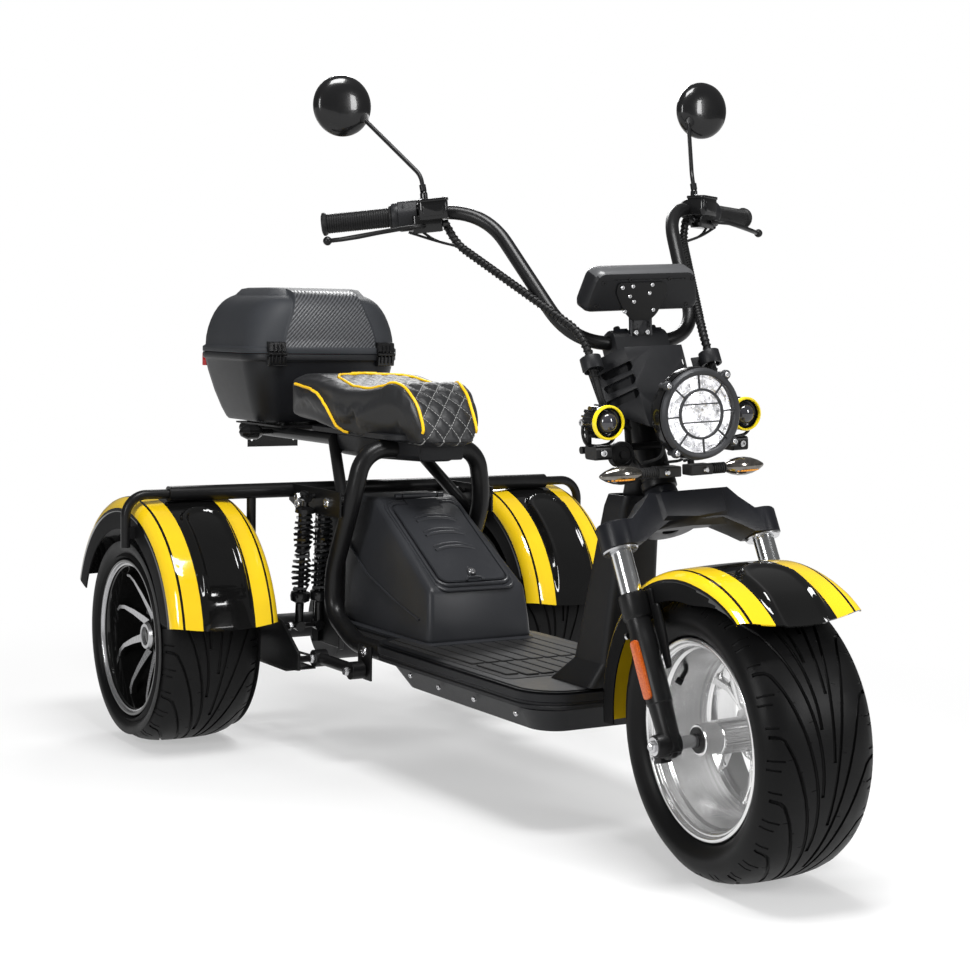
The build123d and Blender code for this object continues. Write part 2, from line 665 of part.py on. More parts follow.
def pedestal_box():
    foot = FLOOR_UNDER_Z + FLOOR_T + SEAT_GAP
    box = pedestal_form(0, foot) - pedestal_form(PEDESTAL_WALL, foot - 5)
    box -= slope_plate(LID_START + 14, LID_STOP - 26, -30, 30, PEDESTAL_LID_HALF_W - 12)
    hinge_x, hinge_z = slope_place(LID_STOP, LID_HINGE_UP)
    for y in (-50, 50):
        lug = rod((hinge_x, y - 7, hinge_z), (hinge_x, y + 7, hinge_z), LID_HINGE_R)
        lug += side_plate(
            [slope_place(LID_STOP - 4, -1), slope_place(LID_STOP + 4, -1),
             slope_place(LID_STOP + 4, LID_HINGE_UP), slope_place(LID_STOP - 4, LID_HINGE_UP)],
            y - 7, y + 7)
        box += lug
    box += rod((hinge_x, -57, hinge_z), (hinge_x, 57, hinge_z), LID_PIN_R)
    return box


def pedestal_lid():
    """The sloping lid with its ribs, its lock and the knuckle it turns on."""
    lid = slope_plate(LID_START, LID_STOP - 12, LID_GAP, LID_GAP + PEDESTAL_LID_T,
                      PEDESTAL_LID_HALF_W)
    for share in (0.40, 0.58, 0.76):
        middle = LID_START + share * (LID_STOP - LID_START)
        lid += slope_plate(middle - 14, middle + 14, LID_GAP + PEDESTAL_LID_T - 1,
                           LID_GAP + PEDESTAL_LID_T + 4, 40)
    hinge_x, hinge_z = slope_place(LID_STOP, LID_HINGE_UP)
    knuckle = rod((hinge_x, -40, hinge_z), (hinge_x, 40, hinge_z), LID_HINGE_R)
    knuckle += side_plate(
        [slope_place(LID_STOP - 16, LID_GAP), slope_place(LID_STOP - 1, LID_GAP + 2),
         slope_place(LID_STOP - 1, LID_HINGE_UP + 2), slope_place(LID_STOP - 16, LID_GAP + 4)],
        -40, 40)
    lock_x, lock_z = slope_place(LID_START + 22, LID_GAP + PEDESTAL_LID_T - 1)
    up_x, up_z = slope_place(LID_START + 22, LID_GAP + PEDESTAL_LID_T + 5)
    lid += rod((lock_x, 0, lock_z), (up_x, 0, up_z), 9)
    lid += knuckle
    return lid - rod((hinge_x, -41, hinge_z), (hinge_x, 41, hinge_z), LID_PIN_R + SHAFT_GAP)


def battery():
    foot = FLOOR_UNDER_Z + FLOOR_T + SEAT_GAP
    return block(PEDESTAL_REAR_X + 12, PEDESTAL_FRONT_X - 36, -88, 88, foot, foot + 92)


# ---- rack, lamps and top box ---------------------------------------------------
def box_rack():
    """Two tubes under the seat and the box, two struts, a plate and its pads."""
    rack = block(RACK_REAR_X, -125, -RACK_TUBE_Y - 20, RACK_TUBE_Y + 20,
                 RACK_TUBE_Z + RACK_TUBE_R - 1, RACK_TUBE_Z + RACK_TUBE_R + RACK_PLATE_T - 1)
    for x in (RACK_REAR_X + 20, RACK_FRONT_X - 60):
        rack += rod((x, -RACK_TUBE_Y, RACK_TUBE_Z), (x, RACK_TUBE_Y, RACK_TUBE_Z), 9)
    half = rod((RACK_REAR_X, RACK_TUBE_Y, RACK_TUBE_Z),
               (RACK_FRONT_X, RACK_TUBE_Y, RACK_TUBE_Z), RACK_TUBE_R)
    half += rod((RACK_FRONT_X - 6, RACK_TUBE_Y, RACK_TUBE_Z), (290, HOOP_HALF_W - 3, 478), STRUT_R)
    for x in (-350, -180):
        half += rod((x, 80, RACK_TUBE_Z), (x, 80, BOX_BOTTOM_Z - SEAT_GAP), 14)
    for one in both_sides(half):
        rack += one
    return cope_to_hoops(rack)


def rear_lamps():
    """The tail lamp, the short plate holder under it and two bullet indicators."""
    rear = RACK_REAR_X - SEAT_GAP
    high = RACK_TUBE_Z + RACK_TUBE_R
    lamp = block(rear - 34, rear, -58, 58, high - 26, high + 4)
    plate = block(rear - 32, rear - 30, -66, 66, high - PLATE_HOLE_DROP - 17, high - 25)
    for y in (-PLATE_HOLE_SPACING / 2, PLATE_HOLE_SPACING / 2):
        z = high - PLATE_HOLE_DROP
        plate -= rod((rear - 33, y, z), (rear - 29, y, z), PLATE_HOLE_R)
    lamps = [lamp + plate]
    start = RACK_TUBE_Y + RACK_TUBE_R + SEAT_GAP
    bullet = ring_y([(0, 0), (6, 0), (6, 28), (11, 28), (17, 38), (17, 62), (10, 76), (0, 82)])
    return lamps + both_sides(Pos(-195, start, RACK_TUBE_Z) * bullet)


def box_outline(shrink, z, corner, inset=0.0):
    """The plan of the top box at a height, smaller by a shrink on every side."""
    cut = shrink + inset
    rear = BOX_FRONT_X - BOX_L
    return rounded_slab(rear + cut, BOX_FRONT_X - cut, BOX_W / 2 - cut, z, corner)


def box_hinge_point():
    return BOX_FRONT_X + 8, BOX_SPLIT_Z


def top_box_base():
    t = BOX_WALL
    base = loft_between([
        box_outline(48, BOX_BOTTOM_Z, 50), box_outline(0, BOX_SPLIT_Z, BOX_CORNER),
    ])
    base -= loft_between([
        box_outline(48, BOX_BOTTOM_Z + t, 47, t),
        box_outline(0, BOX_SPLIT_Z + 1, BOX_CORNER - t, t),
    ])
    x, z = box_hinge_point()
    leaf = [(x - 18, z - 26), (x - 9, z - 22), (x + 4, z - 5), (x, z), (x - 18, z - 1)]
    for y in (-HINGE_HALF_SPACING, HINGE_HALF_SPACING):
        for y0, y1 in ((y - 20, y - 8), (y + 8, y + 20)):
            base += side_plate(leaf, y0, y1)
            base += rod((x, y0, z), (x, y1, z), HINGE_R)
        base += rod((x, y - 20, z), (x, y + 20, z), HINGE_PIN_R)
    return base


def lid_form(inset, z):
    """The domed lid, drawn in by an inset, from a height up."""
    return loft_between([
        box_outline(0, z, BOX_CORNER - inset, inset),
        box_outline(0, BOX_TOP_Z - 74, BOX_CORNER - inset, inset),
        box_outline(50, BOX_TOP_Z - 14 - inset, 60 - inset, inset),
        box_outline(95, BOX_TOP_Z - inset, 45, inset),
    ])


def top_box_lid():
    foot = BOX_SPLIT_Z + BOX_SPLIT_GAP
    lid = lid_form(0, foot) - lid_form(BOX_WALL, foot - 1)
    x, z = box_hinge_point()
    leaf = [(x - 18, z + 28), (x - 8, z + 24), (x + 4, z + 5), (x, z), (x - 4, z + 1),
            (x - 18, z + 3)]
    for y in (-HINGE_HALF_SPACING, HINGE_HALF_SPACING):
        lid += side_plate(leaf, y - 7, y + 7)
        lid += rod((x, y - 7, z), (x, y + 7, z), HINGE_R)
        lid -= rod((x, y - 9, z), (x, y + 9, z), HINGE_PIN_R + SHAFT_GAP)
    return lid


# ---- seat ----------------------------------------------------------------------
def seat_plan(inset):
    """The outline of the seat from above, wide behind and slim in front."""
    half = [
        (SEAT_REAR_X + inset, 0), (SEAT_REAR_X + inset, 128 - inset),
        (SEAT_REAR_X + 28, 150 - inset), (180, 150 - inset), (290, 118 - inset),
        (380, 92 - inset), (SEAT_FRONT_X - 18, 76 - inset), (SEAT_FRONT_X - inset, 55 - inset),
    ]
    return half + [(x, -y) for x, y in reversed(half[1:])]


def seat_pan():
    face = make_face(Polyline(*[(x, y, SEAT_PAN_Z) for x, y in seat_plan(14)], close=True))
    return extrude(face, SEAT_PAN_T - SEAT_GAP, dir=(0, 0, 1))


def seat():
    low = SEAT_PAN_Z + SEAT_PAN_T
    face = make_face(Polyline(*[(x, y, low) for x, y in seat_plan(0)], close=True))
    block_of_foam = extrude(face, 140, dir=(0, 0, 1))
    front, rear = SEAT_FRONT_X, SEAT_REAR_X
    top = SEAT_TOP_Z
    profile = [
        (rear, low), (front - 26, low), (front, low + 26), (front, top - 12),
        (front - 22, top + 4), (front - 90, top - 6), (front - 153, top - 19),
        (150, top - 6), (rear + 60, top), (rear + 14, top - 3), (rear, top - 18),
    ]
    return block_of_foam & side_plate(profile, -200, 200)


# ---- steering head -------------------------------------------------------------
def fork_crown():
    """The lower crown with its two clamps, the steerer and the lamp bracket."""
    low, high = CROWN_BOTTOM, CROWN_TOP
    half = CROWN_HALF_W
    outline = [
        (-half, low), (-half, low + 39), (-half + 64, high), (half - 64, high),
        (half, low + 39), (half, low), (half - 78, low), (half - 90, low + 29),
        (90 - half, low + 29), (78 - half, low),
    ]
    crown = front_plate(outline, FORK_AHEAD - 32, FORK_AHEAD + 30)
    crown += block(0, FORK_AHEAD, -48, 48, low + 40, high)
    crown += rod((0, 0, low + 40), (0, 0, high), 50)
    crown += rod((0, 0, high - 1), (0, 0, HEAD_TUBE_BOTTOM - SEAT_GAP), 24)
    crown += rod((0, 0, high), (0, 0, YOKE_BOTTOM + YOKE_T), STEERER_R)
    crown += block(58, 64, -30, 30, high - 1, high + 150)
    for side in (-1, 1):
        foot = (FORK_AHEAD, side * FORK_HALF, low - 1)
        crown -= rod(foot, (FORK_AHEAD, side * FORK_HALF, low + 46), STANCHION_R + SEAT_GAP)
    lamp_x, lamp_z = HEADLIGHT_PLACE
    stay = rod((lamp_x - 126, 0, lamp_z), (lamp_x - 80 - SEAT_GAP, 0, lamp_z), 18)
    stay += rod((lamp_x - 135, -135, lamp_z - 11), (lamp_x - 135, 135, lamp_z - 11), 7)
    return in_fork(crown) + from_foot(stay)


def fork_stanchions():
    tubes = []
    for side in (-1, 1):
        y = side * FORK_HALF
        tube = rod((FORK_AHEAD, y, 20), (FORK_AHEAD, y, CROWN_BOTTOM + 45), STANCHION_R, 13)
        tubes.append(in_fork(tube))
    return tubes


def fork_sliders():
    """Both lower legs, the axle that joins them and the fender lugs."""
    legs = rod((AXLE_U, -176, AXLE_W), (AXLE_U, 176, AXLE_W), FRONT_AXLE_R)
    for side in (-1, 1):
        y = side * FORK_HALF
        legs += rod((FORK_AHEAD, y, SLIDER_BOTTOM), (FORK_AHEAD, y, SLIDER_TOP), SLIDER_R)
        legs -= rod((FORK_AHEAD, y, 15), (FORK_AHEAD, y, SLIDER_TOP + 1),
                    STANCHION_R + SEAT_GAP)
        inner, outer = FORK_HALF - SLIDER_R, FORK_HALF + SLIDER_R
        spacer = FRONT_HUB_L / 2 + SHAFT_GAP
        legs += rod((AXLE_U, side * spacer, AXLE_W), (AXLE_U, side * (inner + 1), AXLE_W), 14)
        legs += rod((AXLE_U, side * (outer - 2), AXLE_W), (AXLE_U, side * (outer + 9), AXLE_W),
                    13)
        wall = FRONT_FENDER_HALF_W + SEAT_GAP
        low, high = sorted((side * wall, side * (wall + 5)))
        legs += block(FORK_AHEAD - 16, FORK_AHEAD + 16, low, high, 203, 221)
    return in_fork(legs)


def top_yoke():
    """The upper yoke with two bar clamps and the bracket of the instrument."""
    lean = radians(RAKE)
    bar_u = BAR_LOW[0] * cos(lean) + BAR_LOW[1] * sin(lean)
    bar_w = BAR_LOW[1] * cos(lean) - BAR_LOW[0] * sin(lean)
    top = YOKE_BOTTOM + YOKE_T
    front = FAIRING_U - FAIRING_T - SEAT_GAP
    yoke = block(-30, front, -48, 48, YOKE_BOTTOM, top)
    yoke += rod((0, 0, HEAD_TUBE_TOP + SEAT_GAP), (0, 0, YOKE_BOTTOM + 1), 22)
    for y in (-34, 34):
        yoke += block(bar_u - 19, bar_u + 19, y - 13, y + 13, top - 1, bar_w + 19)
    yoke -= rod((0, 0, HEAD_TUBE_TOP), (0, 0, top + 1), STEERER_R + SEAT_GAP)
    yoke -= rod((bar_u, -60, bar_w), (bar_u, 60, bar_w), BAR_R + SEAT_GAP)
    x, z = DASH_LOW
    bracket = side_plate([(x - 7, z - 92), (x - 2, z - 92), (x - 2, z + 0.4), (x - 7, z + 2.3)],
                         -22, 22)
    return in_fork(yoke) + from_foot(bracket)


def bar_path():
    """The corners of the bar, from the left end to the right end."""
    left = [
        (BAR_END[0], BAR_HALF_W, BAR_END[1]), (BAR_TOP[0], BAR_TOP_HALF_W, BAR_TOP[1]),
        (BAR_LOW[0], BAR_LOW_HALF_W, BAR_LOW[1]),
    ]
    return left + [(x, -y, z) for x, y, z in reversed(left)]


def handlebar():
    return from_foot(bent_tube(bar_path(), BAR_R, [60, 50, 50, 60]))


def on_bar(distance):
    """A plane across the left end run of the bar: X forward, Y up, Z inward."""
    end, corner = (Vector(*p) for p in bar_path()[:2])
    along = (corner - end).normalized()
    return Plane(origin=end + along * distance, x_dir=Vector(0, 0, 1).cross(along),
                 z_dir=along)


def bar_ring(start, stop, radius):
    """A sleeve on the left end of the bar, between two distances from its tip."""
    sleeve = extrude(on_bar(start) * Circle(radius), stop - start)
    return sleeve - extrude(on_bar(start - 1) * Circle(BAR_R + SEAT_GAP), stop - start + 2)


def grip():
    """A rubber sleeve with a flange, closed over the tip of the bar."""
    rubber = bar_ring(0, GRIP_L, GRIP_R) + bar_ring(GRIP_L - 1, GRIP_L + 4, GRIP_R + 4)
    return rubber + extrude(on_bar(-5) * Circle(GRIP_R), 5 - SEAT_GAP)


def bar_block(x0, x1, y0, y1, z0, z1):
    """A box in the frame of the bar's end run, clear of the bar itself."""
    body = on_bar(0).location * block(x0, x1, y0, y1, z0, z1)
    return body - extrude(on_bar(z0 - 1) * Circle(BAR_R + SEAT_GAP), z1 - z0 + 2)


def brake_lever():
    """The perch with its reservoir and the blade that ends in a ball."""
    perch = bar_ring(166, 192, 18)
    perch += bar_block(10, 46, -8, 20, 160, 206)
    blade = [on_bar(0).from_local_coords(p)
             for p in ((40, 4, 172), (52, 0, 150), (54, -16, 60), (40, -20, 6))]
    for k in range(3):
        perch += rod(blade[k], blade[k + 1], 5)
    for k, r in ((1, 5), (2, 5), (3, 8)):
        perch += Pos(*blade[k]) * Sphere(r)
    return perch


def switch_pod():
    """The split housing between the grip and the lever perch."""
    return bar_block(-20, 22, -20, 20, 128, 160)


def mirror_arm():
    """A round mirror on its bent stem, which stands on the lever perch."""
    x, y, z = MIRROR_PLACE
    root = on_bar(0).from_local_coords((-3, 18.9, 179))
    knee = Vector(root.X - 8, root.Y, root.Z + 48)
    tip = Vector(x + 5, y - 24, z - 27)
    arm = rod(root, Vector(root.X - 3, root.Y, root.Z + 16), 7)
    arm += rod(root, knee, 4.5) + Pos(*knee) * Sphere(4.5)
    arm += rod(knee, tip, 4.5) + Pos(*tip) * Sphere(7)
    dome = ring_x([(-12, 0), (-12, MIRROR_R), (-4, MIRROR_R), (8, 42), (16, 20), (18, 0)])
    return arm + Pos(x, y, z) * dome


def dash():
    """The instrument: a tilted case whose back looks forward."""
    x, z = DASH_LOW
    case = side_plate([(x, z), (x + 26, z + 70), (x - 16, z + 86), (x - 42, z + 16)],
                      -DASH_HALF_W, DASH_HALF_W)
    return from_foot(case)


def fairing():
    """The faceted nose shield ahead of the head tube, with two cable rings."""
    u, t = FAIRING_U, FAIRING_T
    outer = [(u - 65, -100), (u, -60), (u, 60), (u - 65, 100)]
    inner = [(u - 65 - t, 98), (u - t, 60 - t / 2), (u - t, t / 2 - 60), (u - 65 - t, -98)]
    low = YOKE_BOTTOM - 62
    face = make_face(Polyline(*[(x, y, low) for x, y in outer + inner], close=True))
    shield = extrude(face, 84, dir=(0, 0, 1))
    for side in (-1, 1):
        centre = Pos(u - 15, side * RING_Y, YOKE_BOTTOM)
        eye = centre * Cylinder(14, 10)
        eye += block(u - 40, u - 15, *sorted((side * 80, side * 106)), YOKE_BOTTOM - 4,
                     YOKE_BOTTOM + 4)
        shield += eye - centre * Cylinder(LOOM_R + SEAT_GAP, 12)
    return in_fork(shield)


def headlight():
    """The lamp bowl, a shell that is open in front."""
    bowl = ring_x([(0, 72), (-18, 72), (-44, 66), (-70, 44), (-80, 20), (-80, 0), (-77, 0),
                   (-77, 18), (-68, 41), (-43, 63), (-18, 69), (0, 69)])
    x, z = HEADLIGHT_PLACE
    return from_foot(Pos(x, 0, z) * bowl)


def headlight_lens():
    lens = ring_x([(-14, 0), (-14, 69 - SEAT_GAP), (-8, 69 - SEAT_GAP), (-3, 40), (-1, 0)])
    x, z = HEADLIGHT_PLACE
    return from_foot(Pos(x, 0, z) * lens)


def headlight_guard():
    """A flat grille of two rings, eight spokes and four posts over the lens."""
    guard = ring_x([(6, 64), (12, 64), (12, 76), (6, 76)])
    guard += ring_x([(7, 24), (11, 24), (11, 29), (7, 29)])
    for k in range(8):
        turn = Rot(45 * k + 22.5, 0, 0)
        guard += turn * block(7, 11, 28, 65, -2, 2)
    for k in range(4):
        turn = Rot(90 * k + 45, 0, 0)
        guard += turn * rod((SEAT_GAP, 70.5, 0), (7, 70.5, 0), 1.2)
    x, z = HEADLIGHT_PLACE
    return from_foot(Pos(x, 0, z) * guard)


def fog_lights():
    """Two projector lamps, each a deep ring ahead of a ribbed body."""
    x, z = HEADLIGHT_PLACE
    lamp = ring_x([(-2, 0), (-2, 24), (0, 24), (0, 29), (-14, 29), (-14, 25), (-60, 22),
                   (-68, 14), (-68, 0)])
    lamp = from_foot(Pos(x - 60 + SEAT_GAP, 135, z - 11) * lamp)
    return both_sides(lamp)


def front_indicators():
    """Bullet indicators on stalks from a short bar on the crown."""
    u, w = FORK_AHEAD + 18, CROWN_TOP + 7 + SEAT_GAP
    bullet = Pos(u, 122, w) * ring_y([(0, 0), (11, 0), (17, 10), (17, 30), (10, 41), (0, 44)])
    stalks = rod((u, -123, w), (u, 123, w), 7)
    for one in both_sides(bullet):
        stalks += one
    return in_fork(stalks)


def cable_loom():
    """The bundle from the left controls down to the ring on the nose shield."""
    lean = radians(RAKE)
    u, w = FAIRING_U - 15, YOKE_BOTTOM
    ring = Vector(u * cos(lean) - w * sin(lean), RING_Y, w * cos(lean) + u * sin(lean))
    down = Vector(sin(lean), 0, -cos(lean))
    start = on_bar(0).from_local_coords((0, -BAR_R - LOOM_R - 0.6, 215))
    points = [start, start + Vector(110, -20, -30), ring - down * 55, ring + down * 30]
    runs = [(points[k + 1] - points[k]) for k in range(3)]
    bends = []
    for k in range(2):
        turn = radians(runs[k].get_angle(runs[k + 1]))
        shorter = min(runs[k].length, runs[k + 1].length)
        bends.append(0.45 * shorter / tan(turn / 2))
    print("loom bend radii", [round(r, 1) for r in bends])
    return from_foot(bent_tube(points, LOOM_R, bends))


# ---- write the sub-parts -------------------------------------------------------
os.makedirs("parts", exist_ok=True)

rim, rotor = front_wheel()
save("front_tyre", Pos(WHEELBASE, 0, FRONT_TYRE_R)
     * tyre(FRONT_TYRE_R, FRONT_TYRE_W, FRONT_RIM_W), steered=True)
save("front_wheel_rim", rim, steered=True)
save("front_brake_disc", rotor, steered=True)
for side, name in ((1, "left"), (-1, "right")):
    rim, rotor = rear_wheel(side)
    save(f"rear_tyre_{name}", Pos(0, side * WHEEL_HALF, REAR_TYRE_R)
         * tyre(REAR_TYRE_R, REAR_TYRE_W, REAR_RIM_W))
    save(f"rear_wheel_rim_{name}", rim)
    save(f"rear_brake_disc_{name}", rotor)
    save(f"rear_fender_{name}", rear_fender(side))

save("frame_hoop_left", side_hoop())
save("frame_hoop_right", mirror(side_hoop(), Plane.XZ))
save("floor_frame", floor_frame())
save("neck_frame", neck_frame())
save("rear_rail", rear_rail())
save("rear_axle", rear_axle())
save("axle_carriers", [axle_carrier(1), axle_carrier(-1)])
save("radius_arms", [radius_arm(1), radius_arm(-1)])
save("arm_brackets", both_sides(arm_bracket()))
save("rear_shocks", [rear_shock(side * y) for y in SHOCK_Y for side in (1, -1)])
save("footboard", footboard())
save("floor_mat", floor_mat())
save("belly_tray", belly_tray())
save("neck_cover", neck_cover())
save("pedestal_box", pedestal_box())
save("pedestal_lid", pedestal_lid())
save("battery", battery())
save("box_rack", box_rack())
save("rear_lamps", rear_lamps())
save("top_box_base", top_box_base())
save("top_box_lid", top_box_lid())
save("seat_pan", seat_pan())
save("seat", seat())

save("fork_crown", fork_crown(), steered=True)
save("fork_stanchions", fork_stanchions(), steered=True)
save("fork_sliders", fork_sliders(), steered=True)
save("front_fender", front_fender(), steered=True)
save("top_yoke", top_yoke(), steered=True)
save("handlebar", handlebar(), steered=True)
save("grips", both_sides(from_foot(grip())), steered=True)
save("brake_levers", both_sides(from_foot(brake_lever())), steered=True)
save("switch_pods", both_sides(from_foot(switch_pod())), steered=True)
save("mirrors", both_sides(from_foot(mirror_arm())), steered=True)
save("dash", dash(), steered=True)
save("fairing", fairing(), steered=True)
save("headlight", headlight(), steered=True)
save("headlight_lens", headlight_lens(), steered=True)
save("headlight_guard", headlight_guard(), steered=True)
save("fog_lights", fog_lights(), steered=True)
save("front_indicators", front_indicators(), steered=True)
save("cable_looms", both_sides(cable_loom()), steered=True)
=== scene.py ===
# %% [markdown]
# An electric tricycle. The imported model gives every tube, plate and hinge its place
# and its size. This script dresses it: it keeps the nodes whose shape is right, gives
# each a finish, and models the shapes that sheet metal, rubber, glass and leather need.
# Everything is in metres. +X is forward, +Y is the rider's left and +Z is up.

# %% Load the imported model
import json
from math import atan2, cos, degrees, hypot, pi, radians, sin, sqrt

import bpy
from mathutils import Matrix, Vector


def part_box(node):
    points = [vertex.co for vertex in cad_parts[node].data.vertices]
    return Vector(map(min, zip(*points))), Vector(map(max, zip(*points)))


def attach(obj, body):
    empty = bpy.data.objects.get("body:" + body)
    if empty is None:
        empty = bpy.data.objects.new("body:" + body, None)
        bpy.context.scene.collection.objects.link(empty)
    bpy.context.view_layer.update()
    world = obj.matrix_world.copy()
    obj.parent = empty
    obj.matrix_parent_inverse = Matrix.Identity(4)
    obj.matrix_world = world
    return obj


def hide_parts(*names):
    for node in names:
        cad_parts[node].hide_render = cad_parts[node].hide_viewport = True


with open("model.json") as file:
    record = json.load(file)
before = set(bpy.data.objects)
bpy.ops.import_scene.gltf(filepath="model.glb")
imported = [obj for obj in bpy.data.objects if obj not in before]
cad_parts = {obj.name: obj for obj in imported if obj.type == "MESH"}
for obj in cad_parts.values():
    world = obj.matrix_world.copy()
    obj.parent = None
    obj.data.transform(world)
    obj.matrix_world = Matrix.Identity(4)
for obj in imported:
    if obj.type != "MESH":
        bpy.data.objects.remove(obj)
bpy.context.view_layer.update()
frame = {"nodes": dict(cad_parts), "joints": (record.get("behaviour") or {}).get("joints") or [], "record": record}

JOINTS = {joint["name"]: joint for joint in frame["joints"]}
BODY_OF = {node: body for body, nodes in frame["record"]["behaviour"]["bodies"].items()
    for node in nodes}
SLOT_OF = {part["node"]: part["material_slot"] for part in frame["record"]["subparts"]}

# %% [markdown]
# Four sets of local coordinates make the pieces easy to draw. The bars stand turned six
# degrees to the right, about a steering axis that leans back by 27 degrees. Pieces of
# the steering head are drawn as if the bars stood straight, and a matrix then puts them
# in place. FORK measures along the steering axis, LEVEL is level with the floor, and the
# wheels have frames centred on their axles.

# %% Local coordinates
def at(x, y, z):
    """The matrix that moves a piece to a point."""
    return Matrix.Translation((x, y, z))


def about(axis, degrees_round):
    """The matrix that turns a piece about an axis."""
    return Matrix.Rotation(radians(degrees_round), 4, axis)


RAKE = radians(27)
PARKED = radians(-6)
FOOT = Vector(JOINTS["steering_turn"]["pos_m"])
STEER_AXIS = Vector((-sin(RAKE), 0, cos(RAKE)))
TURN = Matrix.Rotation(PARKED, 4, STEER_AXIS)
LEVEL = Matrix.Translation(FOOT) @ TURN
FORK = LEVEL @ Matrix.Rotation(-RAKE, 4, "Y")
FRONT_AXLE = Vector(JOINTS["front_wheel_spin"]["pos_m"])
FRONT_WHEEL = Matrix.Translation(FRONT_AXLE) @ TURN
REAR_AXLE_X = JOINTS["rear_left_spin"]["pos_m"][0]
REAR_R = JOINTS["rear_left_spin"]["pos_m"][2]
TRACK_HALF = JOINTS["rear_left_spin"]["pos_m"][1]
REAR_LINE = at(REAR_AXLE_X, 0, 0)


def rear_wheel(side):
    """The frame of one rear wheel, with +Y pointing outwards on the left side."""
    return at(REAR_AXLE_X, side * TRACK_HALF, REAR_R)


print("steering foot", FOOT, "front axle", FRONT_AXLE)

# %% [markdown]
# The camera stands ahead of the tricycle and to its right, a little above the seat, and
# looks slightly down. Its place is written from the rear axle line, as the part is.

# %% Camera
EYE = REAR_LINE @ Vector((3.8898, -1.99752, 0.90425))
YAW, PITCH, ROLL = radians(148.8859), radians(-4.815), radians(0.8755)
SENSOR, WIDTH = 36.0, 970
FOCAL = SENSOR * 1956.03 / WIDTH

look = Vector((cos(PITCH) * cos(YAW), cos(PITCH) * sin(YAW), sin(PITCH)))
right = look.cross(Vector((0, 0, 1))).normalized()
up = right.cross(look)
right, up = cos(ROLL) * right + sin(ROLL) * up, cos(ROLL) * up - sin(ROLL) * right
camera_data = bpy.data.cameras.new("camera")
camera_data.sensor_width, camera_data.lens = SENSOR, FOCAL
camera_data.shift_x, camera_data.shift_y = 0.69 / WIDTH, -0.94 / WIDTH
camera_data.clip_end = 100.0
camera = bpy.data.objects.new("camera", camera_data)
bpy.context.collection.objects.link(camera)
camera.matrix_world = Matrix((
    (right.x, up.x, -look.x, EYE.x), (right.y, up.y, -look.y, EYE.y),
    (right.z, up.z, -look.z, EYE.z), (0, 0, 0, 1),
))
bpy.context.scene.camera = camera

# %% [markdown]
# Most finishes here are the same few ideas: a base colour, a fine grain that varies the
# roughness and a bump from the same grain. Shader maths is easier to read as ordinary
# expressions, so a small class wraps a socket and turns + - * / into Math nodes.

# %% Shader helpers
class Value:
    """A socket that takes part in ordinary arithmetic."""

    def __init__(self, finish, socket):
        self.finish, self.socket = finish, socket

    def math(self, operation, *others):
        return self.finish.node("ShaderNodeMath", {"operation": operation},
            dict(enumerate((self, *others))))

    def __add__(self, other):
        return self.math("ADD", other)

    def __sub__(self, other):
        return self.math("SUBTRACT", other)

    def __mul__(self, other):
        return self.math("MULTIPLY", other)

    def __truediv__(self, other):
        return self.math("DIVIDE", other)

    def __gt__(self, other):
        return self.math("GREATER_THAN", other)

    def __lt__(self, other):
        return self.math("LESS_THAN", other)

    __radd__ = __add__
    __rmul__ = __mul__


class Finish:
    """A material that is built around one Principled shader."""

    def __init__(self, name, **constants):
        self.material = bpy.data.materials.new(name)
        self.material.use_nodes = True
        self.nodes = self.material.node_tree.nodes
        self.links = self.material.node_tree.links
        self.shader = self.nodes["Principled BSDF"]
        for key, value in constants.items():
            self.set(key.replace("_", " "), value)

    def wire(self, socket, value):
        if isinstance(value, Value):
            self.links.new(value.socket, socket)
        elif socket.type == "RGBA" and len(value) == 3:
            socket.default_value = (*value, 1.0)
        else:
            socket.default_value = value

    def set(self, key, value):
        self.wire(self.shader.inputs[key], value)

    def node(self, kind, settings, sockets, out=0):
        """Adds a node: its settings first, then the values or links of its sockets."""
        node = self.nodes.new(kind)
        for key, value in settings.items():
            setattr(node, key, value)
        for key, value in sockets.items():
            self.wire(node.inputs[key], value)
        return Value(self, node.outputs[out])

    def place(self):
        """Object coordinates: they stay on the piece in every pose and export."""
        return self.node("ShaderNodeTexCoord", {}, {}, out=3)

    def axes(self, vector, count=3):
        return [self.node("ShaderNodeSeparateXYZ", {}, {0: vector}, out=k)
            for k in range(count)]

    def noise(self, scale, detail=3.0):
        return self.node("ShaderNodeTexNoise", {}, {"Vector": self.place(), "Scale": scale,
            "Detail": detail})

    def cells(self, scale):
        return self.node("ShaderNodeTexVoronoi", {}, {"Vector": self.place(), "Scale": scale})

    def between(self, value, start, stop, low, high, **settings):
        """The value carried from one range over to another."""
        return self.node("ShaderNodeMapRange", settings, {"Value": value, "From Min": start,
            "From Max": stop, "To Min": low, "To Max": high})

    def mix(self, share, first, second):
        """A colour between two, where share 0 is the first."""
        return self.node("ShaderNodeMix", {"data_type": "RGBA"},
            {0: share, 6: first, 7: second}, out=2)

    def bump(self, height, strength=0.3, distance=0.001):
        self.set("Normal", self.node("ShaderNodeBump", {},
            {"Height": height, "Strength": strength, "Distance": distance}))


